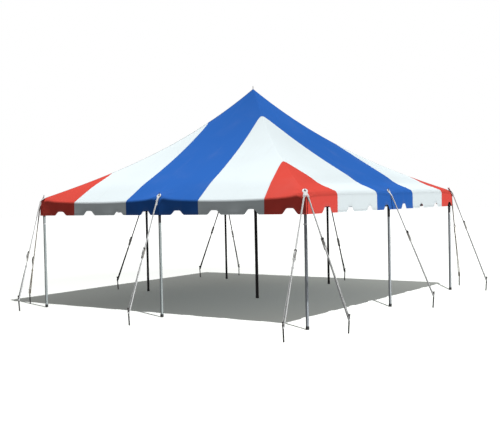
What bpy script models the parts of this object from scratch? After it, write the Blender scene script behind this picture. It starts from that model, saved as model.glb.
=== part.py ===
"""A 6.1 m square pole tent: striped top with a scalloped valance, one centre pole, eight side poles,
pole plates, ratchet guys and stakes. Metres, +Z up, origin on the ground under the centre pole.
The four sides are named as they are seen from outside the front corner, which points to +X and -Y."""

import math

import bmesh
import bpy
from mathutils import Matrix, Vector

# Canopy
HALF = 3.055  # outer face of the valance, from the middle
POLE_HALF = 3.0  # side pole axes, from the middle
PEAK = 4.316
EAVE = 2.155  # roof height over a pole's axis
HEM = 1.812
SPLIT = 2.0  # seam between roof panel and valance
HIP_SAG = 0.26  # below the straight line from peak to eave, halfway down
FACE_SAG = {"front_left": 0.20, "front_right": 0.16, "back_right": 0.16, "back_left": 0.18}
SAG_SKEW = 0.25  # how far the sag leans towards the peak
# How far the eave hangs below its poles between them, and the distance from which the roof follows it
BAY_DROP = {"front_left": 0.075, "front_right": -0.025, "back_right": 0.0, "back_left": 0.02}
BAY_POWER, DROP_FROM = 0.5, 2.6
CLOTH = 0.004
PEAK_HOLE = 0.013  # between the cloth's inner edge and the centre pole's axis
PIN_HOLE = 0.010  # radius of the cloth's hole over an eave pin
ROOF_STEPS = (0.16, 0.45, 0.85, 1.25, 1.65, 2.05, 2.4, 2.7, 2.86)
# The eave's rounding: how far in and how far down from the edge it reaches, at a pole and between poles
ROUND_STEPS = 5
POLE_ROUND = (0.12, 0.105)
BAY_ROUND = {
    "front_left": (0.03, 0.04),
    "front_right": (0.055, 0.08),
    "back_right": (0.045, 0.06),
    "back_left": (0.045, 0.06),
}
PULL = 0.11  # how far from a pole its plate rounds the eave
LEVEL = 0.16  # how far from a pole the eave keeps its height
HALF_COLUMNS = (0.02, 0.045, 0.09, 0.16, 0.3, 0.5, 0.7, 0.84, 0.905, 0.94, 0.965, 1)
PANEL_COLUMNS = (*(-t for t in reversed(HALF_COLUMNS)), 0, *HALF_COLUMNS)

# Scallops: each side's notches, from its middle, as seen from outside left to right
NOTCHES = {
    "front_left": (-2.47, -1.70, -0.94, -0.28, 0.45, 1.25, 2.01, 2.75),
    "front_right": (-2.40, -1.61, -0.88, -0.19, 0.56, 1.39, 2.12, 2.88),
    "back_right": (-2.56, -1.88, -1.13, -0.37, 0.38, 1.14, 1.90, 2.66),
    "back_left": (-2.76, -2.02, -1.26, -0.50, 0.25, 1.00, 1.75, 2.52),
}
NOTCH_HALF = 0.14
NOTCH_DEPTH = 0.085
NOTCH_CROWN = 0.3  # the part of a notch's half width that is flat at its top
NOTCH_STEPS = (-1, -0.82, -0.62, -0.44, -0.24, 0, 0.24, 0.44, 0.62, 0.82, 1)
HEM_END = 0.01  # least distance of a notch's column from a corner

# Poles
SIDE_POLE = 0.0255  # radius
CENTRE_POLE = 0.0315
FOOT_GROWTH, FOOT_HEIGHT = 0.0035, 0.055
PIN = 0.006
PIN_ABOVE = 0.105  # a side pole's pin, above the cloth
PEAK_PIN_ABOVE = 0.095
COLLAR_HEIGHT, COLLAR_LENGTH, COLLAR_GROWTH = 1.64, 0.03, 0.005
POLE_SIDES = 20

# Pole plates
DISC = 0.045
PLATE = 0.005
PLATE_TILT = math.radians(55)
DISC_SHIFT = 0.010  # the disc's middle lies this far below the pin
TONGUE_WIDTH, TONGUE_REACH = 0.042, 0.118
SLOT_WIDTH, SLOT_LOW, SLOT_HIGH = 0.030, 0.090, 0.106  # the bar beyond the slot carries the strap
CORNER_SPREAD = math.radians(17)
DISC_SIDES = 24
FEELERS = 24  # points along each line on which the plate's underside is felt as it is lowered
BY_SEAM = 0.0006  # how far beside the seam under a corner plate it is felt

# Guys
STRAP_WIDTH, STRAP = 0.026, 0.003
EYE_INNER, EYE_SIDES = 0.0072, 12
RATCHET_LENGTH, RATCHET_WIDTH, RATCHET_DEPTH = 0.20, 0.044, 0.016
SPOOL, SPOOL_BELOW, SPOOL_LIFT = 0.019, 0.06, 0.004  # radius, and place from the ratchet's middle
SPOOL_END = 0.004  # what shows of it at each side
HANDLE_LENGTH, HANDLE_WIDTH, HANDLE_DEPTH = 0.15, 0.036, 0.012
HANDLE_ABOVE, HANDLE_LIFT = 0.02, 0.002
KEEPER_LENGTH, KEEPER_WIDTH, KEEPER_DEPTH = 0.045, 0.035, 0.022
KEEPER_BELOW = 0.20  # from the ratchet's middle
LEG_SPREAD = 0.005  # of each leg's top, from the keeper's middle
LEG_INTO_LOOP = 0.7  # where a leg lies in the loop's band, as a part of its thickness
LOOP_SIDES = 16

# Stakes
STAKE, STAKE_SIDES = 0.0125, 14
STAKE_HEIGHT = 0.30
STAKE_HEAD, HEAD_LOW, HEAD_WIDE, HEAD_EDGE = 0.0165, 0.022, 0.014, 0.005
STAKE_LEAN = 0.07  # outward, per metre of height
LOOP_HEIGHT = 0.215

SEAT = 0.0004  # clearance between pieces that bear on each other
SEAM = 0.0003  # clearance along a seam
WELD = 0.00005
FEEL_FROM = 1.5  # height from which the cloth is felt above a pole
ABOVE_ALL = 0.3  # how far a cutter stands over the peak
FACING = 0.5  # least cosine between a pole's direction and that of a side it belongs to

# Outward direction of each side, in degrees
SIDES = {"front_left": -90, "front_right": 0, "back_right": 90, "back_left": 180}
POLES = {
    "left_corner": (-1, -1),
    "front_left_side": (0, -1),
    "front_corner": (1, -1),
    "front_right_side": (1, 0),
    "right_corner": (1, 1),
    "back_right_side": (0, 1),
    "back_corner": (-1, 1),
    "back_left_side": (-1, 0),
}
# Each guy: its pole, the tongue of the plate that it hangs from, its stake on the ground, and how far
# down it the ratchet sits
GUYS = {
    "left_corner_a": ("left_corner", 1, (-3.04, -3.64), 0.56),
    "left_corner_b": ("left_corner", -1, (-3.72, -2.80), 0.64),
    "front_left_side": ("front_left_side", 0, (0.13, -3.98), 0.48),
    "front_corner_a": ("front_corner", -1, (3.27, -4.12), 0.47),
    "front_corner_b": ("front_corner", 1, (3.74, -3.03), 0.39),
    "front_right_side": ("front_right_side", 0, (3.76, 0.20), 0.40),
    "right_corner_a": ("right_corner", 1, (2.86, 3.90), 0.42),
    "right_corner_b": ("right_corner", -1, (3.72, 3.18), 0.37),
    "back_right_side": ("back_right_side", 0, (-0.04, 3.86), 0.60),
    "back_corner_a": ("back_corner", -1, (-3.27, 3.92), 0.52),
    "back_corner_b": ("back_corner", 1, (-3.92, 3.08), 0.45),
    "back_left_side": ("back_left_side", 0, (-3.92, -0.02), 0.50),
}


def clear_scene():
    """Starts from an empty scene, with a collection for the tent and one for its helpers."""
    for obj in list(bpy.data.objects):
        bpy.data.objects.remove(obj, do_unlink=True)
    made = []
    for name in ("marquee_tent", "helpers"):
        collection = bpy.data.collections.new(name)
        bpy.context.scene.collection.children.link(collection)
        made.append(collection)
    made[1].hide_render = True
    return made


def material(name, colour, roughness, metallic=0.0):
    """A plain finish."""
    made = bpy.data.materials.new(name)
    made.use_nodes = True
    shader = made.node_tree.nodes["Principled BSDF"]
    shader.inputs["Base Color"].default_value = (*colour, 1)
    shader.inputs["Roughness"].default_value = roughness
    shader.inputs["Metallic"].default_value = metallic
    return made


def add(bm, name, collection, finish, place=None):
    """Makes the mesh an object, faces out, and closes the bmesh."""
    bmesh.ops.recalc_face_normals(bm, faces=bm.faces)
    if place is not None:
        bm.transform(place)
    mesh = bpy.data.meshes.new(name)
    bm.to_mesh(mesh)
    bm.free()
    obj = bpy.data.objects.new(name, mesh)
    obj.data.materials.append(finish)
    collection.objects.link(obj)
    return obj


def helper(obj):
    """Marks a piece that only cuts or joins others."""
    obj.hide_render = True
    obj.display_type = "WIRE"
    return obj


def boolean(obj, other, operation):
    """Joins the other piece to the object, or cuts it away."""
    modifier = obj.modifiers.new(operation.lower(), "BOOLEAN")
    modifier.operation = operation
    modifier.object = other
    modifier.solver = "EXACT"


def box(size, centre=(0, 0, 0)):
    """A block with its sides along the axes."""
    bm = bmesh.new()
    bmesh.ops.create_cube(bm, size=1, matrix=Matrix.Translation(centre) @ Matrix.Diagonal((*size, 1)))
    return bm


def rod(radius, low, high, sides=12):
    """An upright round bar."""
    bm = bmesh.new()
    middle = Matrix.Translation((0, 0, (low + high) / 2))
    bmesh.ops.create_cone(
        bm, cap_ends=True, segments=sides, radius1=radius, radius2=radius, depth=high - low, matrix=middle
    )
    return bm


def close(t, reach):
    """1 at a pole, falling to 0 as far as reach from it and beyond."""
    off = min(abs(t * HALF - place * POLE_HALF) for place in (-1, 0, 1))
    return math.exp(-((off / reach) ** 2))


def bay(t):
    """0 at a pole and 1 halfway between two poles."""
    return abs(math.sin(math.pi * t * HALF / POLE_HALF)) ** BAY_POWER * (1 - close(t, LEVEL))


def roof_height(d, t, side):
    """Height of the top at the distance d from the middle; t runs from -1 to 1 between the two hips."""
    s = d / POLE_HALF
    face = FACE_SAG[side]
    sag = (face + (HIP_SAG - face) * t**2) * (1 + SAG_SKEW * (1 - 2 * s))
    drop = BAY_DROP[side] * bay(t) * max(d - DROP_FROM, 0) / (HALF - DROP_FROM)
    return PEAK + (EAVE - PEAK) * s - 4 * sag * s * (1 - s) - drop


def roof_section(t, side):
    """The outer line of the top from peak to seam, as (d, z), rounded where roof and valance meet."""
    near = close(t, PULL)
    back, down = Vector(POLE_ROUND) * near + Vector(BAY_ROUND[side]) * (1 - near)
    start = HALF - back
    line = [(d, roof_height(d, t, side)) for d in (PEAK_HOLE, *ROOF_STEPS, start)]
    high, edge = line[-1][1], roof_height(HALF, t, side)
    for step in range(1, ROUND_STEPS + 1):
        k = step / ROUND_STEPS
        rest = (1 - k) ** 2
        z = high * rest + 2 * edge * k * (1 - k) + (edge - down) * k**2
        line.append((start * rest + HALF * (1 - rest), z))
    return line + [(HALF, SPLIT)]


def inward(line):
    """The same line moved into the tent by the cloth's thickness, square to the line at each point."""
    moved = []
    for i, point in enumerate(line):
        before, after = Vector(line[max(i - 1, 0)]), Vector(line[min(i + 1, len(line) - 1)])
        along = (after - before).normalized()
        moved.append((point[0] + CLOTH * along.y, point[1] - CLOTH * along.x))
    return moved


def sheet(columns, section, place, name, finish, collection, width):
    """A thick sheet: a grid laid on the sections outside, extruded to the same sections moved inward."""
    outer = [section(t) for t in columns]
    inner = [inward(line) for line in outer]
    across, down = len(columns) - 1, len(outer[0]) - 1
    bm = bmesh.new()
    bmesh.ops.create_grid(bm, x_segments=across, y_segments=down, size=1)
    first = bm.verts[:]
    made = bmesh.ops.extrude_face_region(bm, geom=bm.faces[:])
    second = [v for v in made["geom"] if isinstance(v, bmesh.types.BMVert)]
    for verts, lines in ((first, outer), (second, inner)):
        for v in verts:
            i, j = round((v.co.x + 1) / 2 * across), round((v.co.y + 1) / 2 * down)
            d, z = lines[i][j]
            v.co = (d, width(columns[i], d), z)
    return add(bm, name, collection, finish, place)


def hem_height(u, side):
    """Height of the hem: level, with a bell-shaped notch cut up into it at each notch."""
    rise = 0.0
    for middle in NOTCHES[side]:
        off = abs(u - middle) / NOTCH_HALF
        if off < 1:
            fall = max(off - NOTCH_CROWN, 0) / (1 - NOTCH_CROWN)
            rise = NOTCH_DEPTH * (1 - fall**2 * (3 - 2 * fall))
    return HEM + rise


def hem_columns(side):
    """Where a valance's columns stand, from -1 to 1, with some on each notch."""
    across = [middle + NOTCH_HALF * s for middle in NOTCHES[side] for s in NOTCH_STEPS]
    reach = HALF - SEAM
    return [-1.0] + [u / reach for u in across if abs(u) < reach - HEM_END] + [1.0]


def mitred(t, d):
    """Distance along the side at t, so that neighbouring sides meet in the upright plane of the hip."""
    return t * (d - SEAM)


def build_canopy(collection, colours):
    """Four roof panels, which it returns by side, and the valance below each."""
    roof, skirt = colours["roof"], colours["valance"]
    made = {}
    for side, degrees in SIDES.items():
        turn = Matrix.Rotation(math.radians(degrees), 4, "Z")

        def panel_section(t, side=side):
            return roof_section(t, side)

        def valance_section(t, side=side):
            return [(HALF, SPLIT - SEAM), (HALF, hem_height(t * HALF, side))]

        made[side] = sheet(PANEL_COLUMNS, panel_section, turn, f"roof_{side}", roof, collection, mitred)

        sheet(hem_columns(side), valance_section, turn, f"valance_{side}", skirt, collection, mitred)
    return made


def pole_place(name):
    """Where a side pole stands."""
    x, y = POLES[name]
    return Vector((x * POLE_HALF, y * POLE_HALF, 0))


def outward(name):
    """Turn about Z that points +X away from the middle, through the named pole."""
    x, y = POLES[name]
    return math.atan2(y, x)


def panels_at(name, panels):
    """The roof panels that lie over a pole: both neighbours of a corner, one at a side."""
    if name == "centre":
        return list(panels.values())
    out = pole_place(name).normalized()
    return [
        panel
        for side, panel in panels.items()
        if out.dot(Matrix.Rotation(math.radians(SIDES[side]), 3, "Z") @ Vector((1, 0, 0))) > FACING
    ]


def gap_along(points, direction, solids):
    """The shortest way from any of the points to the solids in a direction."""
    found = []
    for solid in solids:
        for point in points:
            hit, place, _, _ = solid.ray_cast(point, direction)
            if hit:
                found.append((place - Vector(point)).length)
    return min(found)


def fan(count):
    """Evenly spaced angles round a circle."""
    return [2 * math.pi * k / count for k in range(count)]


def pole(name, place, radius, panels, collection, colours, collar=False):
    """A tube standing on its foot cap, its rim under the cloth and its pin through it."""
    rim = [place + Vector((radius * math.cos(a), radius * math.sin(a), FEEL_FROM)) for a in fan(POLE_SIDES)]
    top = FEEL_FROM + gap_along(rim, Vector((0, 0, 1)), panels_at(name, panels)) - 2 * SEAT
    pin_top = top + CLOTH + (PEAK_PIN_ABOVE if name == "centre" else PIN_ABOVE)
    profile = [
        (0, 0),
        (radius + FOOT_GROWTH, 0),
        (radius + FOOT_GROWTH, FOOT_HEIGHT),
        (radius, FOOT_HEIGHT),
    ]
    if collar:
        profile += [
            (radius, COLLAR_HEIGHT),
            (radius + COLLAR_GROWTH, COLLAR_HEIGHT),
            (radius + COLLAR_GROWTH, COLLAR_HEIGHT + COLLAR_LENGTH),
            (radius, COLLAR_HEIGHT + COLLAR_LENGTH),
        ]
    profile += [(radius, top), (PIN, top), (PIN, pin_top - PIN), (0, pin_top)]
    label = "centre_pole" if name == "centre" else f"pole_{name}"
    obj = turned(label, profile, collection, colours["pole"])
    obj.location = place


def turned(name, profile, collection, finish, sides=POLE_SIDES):
    """A turned shape from its half section, listed from the bottom up; the Screw spins it round Z."""
    bm = bmesh.new()
    points = [bm.verts.new((x, 0, z)) for x, z in reversed(profile)]
    for a, b in zip(points, points[1:]):
        bm.edges.new((a, b))
    mesh = bpy.data.meshes.new(name)
    bm.to_mesh(mesh)
    bm.free()
    obj = bpy.data.objects.new(name, mesh)
    obj.data.materials.append(finish)
    collection.objects.link(obj)
    screw = obj.modifiers.new("turn", "SCREW")
    screw.steps = screw.render_steps = sides
    screw.use_merge_vertices = True
    screw.merge_threshold = 0.0001
    return obj


def pin_cutter(place, radius, helpers, name, finish):
    """A rod that cuts a hole for a pole's pin."""
    obj = add(rod(radius, SPLIT, PEAK + ABOVE_ALL), f"cut_{name}", helpers, finish)
    obj.location = place
    return helper(obj)


def tongue_turns(name):
    """The turns of a plate's tongues: two at a corner, one at a side."""
    return (-CORNER_SPREAD, CORNER_SPREAD) if 0 not in POLES[name] else (0.0,)


def plate(name, panels, collection, helpers, colours):
    """A disc over the eave pin with a slotted tongue for each strap, tilted and lowered onto the cloth."""
    middle = Vector((DISC_SHIFT, 0, 0))
    disc = rod(DISC, -PLATE / 2, PLATE / 2, DISC_SIDES)
    bmesh.ops.translate(disc, vec=middle, verts=disc.verts)
    base = add(disc, f"plate_{name}", collection, colours["plate"])
    tilt = Matrix.Rotation(outward(name), 4, "Z") @ Matrix.Rotation(PLATE_TILT, 4, "Y")
    length = TONGUE_REACH - DISC / 2
    shapes = {
        "tongue": ("UNION", (length, TONGUE_WIDTH, PLATE), DISC / 2 + length / 2),
        "slot": ("DIFFERENCE", (SLOT_HIGH - SLOT_LOW, SLOT_WIDTH, 4 * PLATE), (SLOT_HIGH + SLOT_LOW) / 2),
    }
    for label, (operation, size, reach) in shapes.items():
        for k, turn in enumerate(tongue_turns(name)):
            about = Matrix.Translation(middle) @ Matrix.Rotation(turn, 4, "Z")
            block = box(size, (reach, 0, 0))
            other = helper(add(block, f"{label}_{name}_{k}", helpers, colours["plate"], about))
            other.parent = base
            boolean(base, other, operation)
    steps = [k / FEELERS for k in range(FEELERS + 1)]
    under = [DISC * r * Vector((math.cos(a), math.sin(a), 0)) for r in steps for a in fan(DISC_SIDES)]
    under += [Vector((DISC * r, hand * BY_SEAM, 0)) for r in steps for hand in (-1, 1)]
    for turn in tongue_turns(name):
        about = Matrix.Rotation(turn, 3, "Z")
        under += [
            about @ Vector((TONGUE_REACH * reach, TONGUE_WIDTH / 2 * (2 * across - 1), 0))
            for reach in steps
            for across in steps
        ]
    under = [point + Vector((DISC_SHIFT, 0, -PLATE / 2)) for point in under]
    high = pole_place(name) + Vector((0, 0, EAVE + ABOVE_ALL))
    points = [high + tilt @ p for p in under]
    fall = gap_along(points, Vector((0, 0, -1)), panels_at(name, panels)) - SEAT / math.cos(PLATE_TILT)
    base.matrix_world = Matrix.Translation(high - Vector((0, 0, fall))) @ tilt
    cutter = pin_cutter(pole_place(name), PIN + SEAT, helpers, f"plate_pin_{name}", colours["plate"])
    boolean(base, cutter, "DIFFERENCE")
    return base


def bar_of(plate_obj, name, tongue):
    """The middle of the bar that a strap hangs from, and the bar's direction, in the world."""
    turns = tongue_turns(name)
    turn = turns[0] if tongue <= 0 else turns[-1]
    about = Matrix.Translation((DISC_SHIFT, 0, 0)) @ Matrix.Rotation(turn, 4, "Z")
    place = plate_obj.matrix_world @ about @ Vector(((TONGUE_REACH + SLOT_HIGH) / 2, 0, 0))
    across = (plate_obj.matrix_world.to_3x3() @ about.to_3x3() @ Vector((0, 1, 0))).normalized()
    return place, across


def frame_of(origin, along, across):
    """A place whose X runs along, whose Y lies near to across, and whose Z is square to both."""
    x = along.normalized()
    z = x.cross(across).normalized()
    y = z.cross(x)
    turn = Matrix((x, y, z)).transposed().to_4x4()
    return Matrix.Translation(origin) @ turn


def ring(inner, outer, width, sides):
    """A flat band round Z, with the width along Z."""
    bm = bmesh.new()
    corners = [(inner, -width / 2), (outer, -width / 2), (outer, width / 2), (inner, width / 2)]
    loop = [bm.verts.new((x, 0, z)) for x, z in corners]
    edges = [bm.edges.new((loop[i], loop[(i + 1) % 4])) for i in range(4)]
    bmesh.ops.spin(
        bm, geom=loop + edges, cent=(0, 0, 0), axis=(0, 0, 1), angle=2 * math.pi, steps=sides, use_merge=True
    )
    bmesh.ops.remove_doubles(bm, verts=bm.verts, dist=WELD)
    return bm


def stake_out(name):
    """The level direction from a guy's pole to its stake, in which the stake leans."""
    pole_name, _, foot, _ = GUYS[name]
    return (Vector((*foot, 0)) - pole_place(pole_name)).normalized()


def stake(name, collection, colours):
    """A round steel stake with a head, cut level at the ground."""
    profile = [
        (0, 0),
        (STAKE, 0),
        (STAKE, STAKE_HEIGHT - HEAD_LOW),
        (STAKE_HEAD, STAKE_HEIGHT - HEAD_WIDE),
        (STAKE_HEAD, STAKE_HEIGHT - HEAD_EDGE),
        (STAKE_HEAD - HEAD_EDGE, STAKE_HEIGHT),
        (0, STAKE_HEIGHT),
    ]
    obj = turned(f"stake_{name}", profile, collection, colours["stake"], STAKE_SIDES)
    bpy.context.view_layer.update()
    round_bar = obj.evaluated_get(bpy.context.evaluated_depsgraph_get())
    obj.data = bpy.data.meshes.new_from_object(round_bar)
    obj.modifiers.clear()
    obj.data.transform(leaning(stake_out(name)))
    obj.location = (*GUYS[name][2], 0)
    return obj


def leaning(out):
    """A shear that moves what is higher outward and leaves the foot level."""
    shear = Matrix.Identity(4)
    shear[0][2] = STAKE_LEAN * out.x
    shear[1][2] = STAKE_LEAN * out.y
    return shear


def guy(name, plate_obj, collection, helpers, colours):
    """One strap: the eye on the plate's bar, the run to ratchet and keeper, and two legs to the loop."""
    pole_name, tongue, foot, down = GUYS[name]
    bar, across = bar_of(plate_obj, pole_name, tongue)
    axis = (Vector((0, 0, 1)) + STAKE_LEAN * stake_out(name)).normalized()
    loop_at = Vector((foot[0], foot[1], 0)) + axis * (LOOP_HEIGHT / axis.z)
    run = loop_at - bar
    length = run.length
    along = run / length
    level = along.cross(Vector((0, 0, 1))).normalized()
    keeper_at = bar + along * (length * down + KEEPER_BELOW)
    skew = abs(along.dot(across))  # sine of the angle by which the strap leaves its bar out of square
    start = (EYE_INNER + STRAP / 2 + STRAP_WIDTH / 2 * skew) / math.sqrt(1 - skew**2)
    line = frame_of(bar, along, across)
    strap_end = length * down + KEEPER_BELOW
    main = box((strap_end - start, STRAP_WIDTH, STRAP), ((strap_end + start) / 2, 0, 0))
    base = add(main, f"guy_{name}", collection, colours["guy"], line)
    middle = length * down
    crosswise = Matrix.Rotation(math.pi / 2, 4, "X")
    spool_at = Matrix.Translation((middle + SPOOL_BELOW, 0, SPOOL_LIFT)) @ crosswise
    holds = STAKE + SEAT
    pieces = {
        "frame": (box((RATCHET_LENGTH, RATCHET_WIDTH, RATCHET_DEPTH), (middle, 0, 0)), line),
        "handle": (
            box(
                (HANDLE_LENGTH, HANDLE_WIDTH, HANDLE_DEPTH),
                (middle - HANDLE_ABOVE, 0, RATCHET_DEPTH / 2 + HANDLE_DEPTH / 2 + HANDLE_LIFT),
            ),
            line,
        ),
        "spool": (
            rod(SPOOL, -RATCHET_WIDTH / 2 - SPOOL_END, RATCHET_WIDTH / 2 + SPOOL_END),
            line @ spool_at,
        ),
        "keeper": (box((KEEPER_LENGTH, KEEPER_WIDTH, KEEPER_DEPTH)), frame_of(keeper_at, along, level)),
        "eye": (ring(EYE_INNER, EYE_INNER + STRAP, STRAP_WIDTH, EYE_SIDES), ring_frame(bar, across)),
        "loop": (ring(holds, holds + STRAP, STRAP_WIDTH, LOOP_SIDES), ring_frame(loop_at, axis)),
    }
    for hand in (-1, 1):
        top = keeper_at + level * (hand * LEG_SPREAD)
        end = loop_at + level * (hand * (holds + STRAP * LEG_INTO_LOOP))
        leg = (end - top).length
        pieces[f"leg_{hand + 1}"] = (
            box((leg, STRAP_WIDTH, STRAP), (leg / 2, 0, 0)),
            frame_of(top, end - top, along.cross(level)),
        )
    for label, (bm, place) in pieces.items():
        other = helper(add(bm, f"{label}_{name}", helpers, colours["guy"], place))
        boolean(base, other, "UNION")
    return base


def ring_frame(centre, axis):
    """A place whose Z is the axis."""
    return Matrix.Translation(centre) @ axis.to_track_quat("Z", "Y").to_matrix().to_4x4()


def main():
    """Builds the canopy first, because poles and plates are seated against it."""
    tent, helpers = clear_scene()
    colours = {
        "roof": material("roof_vinyl", (0.65, 0.75, 0.88), 0.45),
        "valance": material("valance_vinyl", (0.55, 0.6, 0.7), 0.45),
        "pole": material("galvanised_tube", (0.42, 0.44, 0.46), 0.45, 0.85),
        "plate": material("plate_steel", (0.7, 0.71, 0.73), 0.35, 0.9),
        "guy": material("webbing", (0.78, 0.78, 0.76), 0.8),
        "stake": material("stake_steel", (0.12, 0.12, 0.13), 0.55, 0.8),
    }
    panels = build_canopy(tent, colours)
    bpy.context.view_layer.update()
    pole("centre", Vector((0, 0, 0)), CENTRE_POLE, panels, tent, colours)
    plates = {}
    for name in POLES:
        pole(name, pole_place(name), SIDE_POLE, panels, tent, colours, collar=0 not in POLES[name])
        plates[name] = plate(name, panels, tent, helpers, colours)
    for name in POLES:
        cutter = pin_cutter(pole_place(name), PIN_HOLE, helpers, f"cloth_pin_{name}", colours["roof"])
        for panel in panels_at(name, panels):
            boolean(panel, cutter, "DIFFERENCE")
    bpy.context.view_layer.update()
    for name in GUYS:
        guy(name, plates[GUYS[name][0]], tent, helpers, colours)
        stake(name, tent, colours)


main()
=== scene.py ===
"""A striped square pole tent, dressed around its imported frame.

One piece of striped vinyl hangs from a centre pole and eight side poles. Every side pole carries a steel
plate, from which webbing runs through a ratchet to a steel stake. Metres, +Z up, the origin on the ground
under the centre pole. The sides are named as they are seen from outside the front corner.
"""

from __future__ import annotations

import logging
import math
from collections import defaultdict
from collections.abc import Callable, Iterator, Sequence
from contextlib import contextmanager
from dataclasses import dataclass, field
from enum import Enum

import bmesh
import bpy
import numpy as np
from mathutils import Matrix, Vector

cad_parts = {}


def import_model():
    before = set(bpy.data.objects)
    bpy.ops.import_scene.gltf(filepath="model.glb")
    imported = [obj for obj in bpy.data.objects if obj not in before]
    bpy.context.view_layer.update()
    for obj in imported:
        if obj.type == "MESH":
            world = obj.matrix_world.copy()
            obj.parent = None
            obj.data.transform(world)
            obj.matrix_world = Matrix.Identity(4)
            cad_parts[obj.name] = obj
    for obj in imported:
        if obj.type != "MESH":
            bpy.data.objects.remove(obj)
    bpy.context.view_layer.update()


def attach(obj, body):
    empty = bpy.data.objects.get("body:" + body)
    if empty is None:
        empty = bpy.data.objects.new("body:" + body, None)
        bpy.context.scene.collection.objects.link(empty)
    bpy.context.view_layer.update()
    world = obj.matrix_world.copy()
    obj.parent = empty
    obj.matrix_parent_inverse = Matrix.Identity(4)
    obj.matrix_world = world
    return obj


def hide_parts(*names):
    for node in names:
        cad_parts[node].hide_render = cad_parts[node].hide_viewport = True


LOG = logging.getLogger("pole_tent")
BODY = "root"
UP = Vector((0, 0, 1))
SMOOTH_ANGLE = math.radians(32)
CLOTH_UV = "cloth"

Object = bpy.types.Object
Material = bpy.types.Material
Colour = tuple[float, float, float]
Size = tuple[float, float, float]
Pair = tuple[float, float]
Repaint = dict[Material | None, Material]


# The frame that every piece shares


class Side(Enum):
    """A side of the tent, by its outward direction in degrees."""

    FRONT_LEFT = -90
    FRONT_RIGHT = 0
    BACK_RIGHT = 90
    BACK_LEFT = 180


class Pole(Enum):
    """A side pole, by where it stands in units of the distance between poles."""

    LEFT_CORNER = (-1, -1)
    FRONT_LEFT_SIDE = (0, -1)
    FRONT_CORNER = (1, -1)
    FRONT_RIGHT_SIDE = (1, 0)
    RIGHT_CORNER = (1, 1)
    BACK_RIGHT_SIDE = (0, 1)
    BACK_CORNER = (-1, 1)
    BACK_LEFT_SIDE = (-1, 0)

    @property
    def label(self) -> str:
        """The pole's name in the frame."""
        return self.name.lower()

    @property
    def foot(self) -> Vector:
        """The middle of its foot on the ground."""
        return Vector((*self.value, 0)) * Layout.pole_half

    @property
    def corner(self) -> bool:
        """Whether two sides meet over it."""
        return 0 not in self.value

    @property
    def outward(self) -> float:
        """The turn about Z that points +X away from the middle, through the pole."""
        return math.atan2(self.value[1], self.value[0])


class Kind(Enum):
    """What a pole is, by the heights of its tube's top and of its pin's tip."""

    SIDE = (2.1047, 2.2138)
    CORNER = (2.1123, 2.2214)
    CENTRE = (4.2767, 4.3757)


class Webbing(Enum):
    """How light a guy's webbing is; the dark grey of the back guys is painted shade."""

    PALE = (0.60, 0.61, 0.61)
    BEIGE = (0.27, 0.245, 0.205)
    # Painted shade: the back guys, turned away from the light, are made dark grey.
    GREY = (0.10, 0.10, 0.10)


class Tube(Enum):
    """A pole's zinc: its light and its dark colour, and how metallic it is; the near-black one is painted
    shade.
    """

    BRIGHT = ((0.41, 0.46, 0.46), (0.29, 0.33, 0.33), 0.30)
    STEEL = ((0.46, 0.49, 0.51), (0.30, 0.33, 0.35), 0.50)
    BLUE = ((0.40, 0.43, 0.46), (0.25, 0.28, 0.31), 0.55)
    # Painted shade: near-black zinc for the back and centre poles, which stand in the canopy's shade.
    BLACK = ((0.030, 0.027, 0.027), (0.016, 0.014, 0.014), 0.10)


@dataclass(frozen=True)
class Layout:
    """Sizes that more than one sub-assembly needs."""

    half: float = 3.055  # outer face of the valance, from the middle
    pole_half: float = 3.0
    strap_width: float = 0.026
    stake_radius: float = 0.0125
    stake_lean: float = 0.07  # outward, per metre of height
    loop_height: float = 0.215


def frame_of(origin: Vector, along: Vector, across: Vector) -> Matrix:
    """A place whose X runs along and whose Y lies as near to across as it can.

    Args:
        origin: The place's origin.
        along: Direction of X.
        across: Direction that Y is turned towards.

    Returns:
        The place as a matrix.
    """
    x = along.normalized()
    z = x.cross(across).normalized()
    y = z.cross(x)
    return Matrix.Translation(origin) @ Matrix((x, y, z)).transposed().to_4x4()


def ring_frame(centre: Vector, axis: Vector) -> Matrix:
    """A place at centre whose Z is the axis."""
    return Matrix.Translation(centre) @ axis.to_track_quat("Z", "Y").to_matrix().to_4x4()


# Shader maths


class Signal:
    """A node's output that takes part in Python expressions, which add Math nodes."""

    def __init__(self, shader: Shader, socket: bpy.types.NodeSocket) -> None:
        """Wraps a socket of a shader."""
        self.shader = shader
        self.socket = socket

    def _math(self, operation: str, *values: Signal | float) -> Signal:
        """A Math node on these values."""
        return self.shader.node("ShaderNodeMath", {"operation": operation}, dict(enumerate(values)))

    def __add__(self, other: Signal | float) -> Signal:
        """self + other."""
        return self._math("ADD", self, other)

    __radd__ = __add__

    def __sub__(self, other: Signal | float) -> Signal:
        """self - other."""
        return self._math("SUBTRACT", self, other)

    def __rsub__(self, other: Signal | float) -> Signal:
        """other - self."""
        return self._math("SUBTRACT", other, self)

    def __mul__(self, other: Signal | float) -> Signal:
        """self * other."""
        return self._math("MULTIPLY", self, other)

    __rmul__ = __mul__

    def __abs__(self) -> Signal:
        """The size of self."""
        return self._math("ABSOLUTE", self)

    def sine(self) -> Signal:
        """The sine of self, in radians."""
        return self._math("SINE", self)

    def least(self, other: Signal | float) -> Signal:
        """The lesser of two values."""
        return self._math("MINIMUM", self, other)

    def fade(self, start: float, end: float, low: float = 0.0, high: float = 1.0) -> Signal:
        """Turns smoothly from one value to another.

        Args:
            start: Where the turn starts.
            end: Where it ends.
            low: The value at the start.
            high: The value at the end.

        Returns:
            The turned signal.
        """
        settings = {"interpolation_type": "SMOOTHSTEP", "clamp": True}
        values = {0: self, 1: start, 2: end, 3: low, 4: high}
        return self.shader.node("ShaderNodeMapRange", settings, values)


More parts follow.
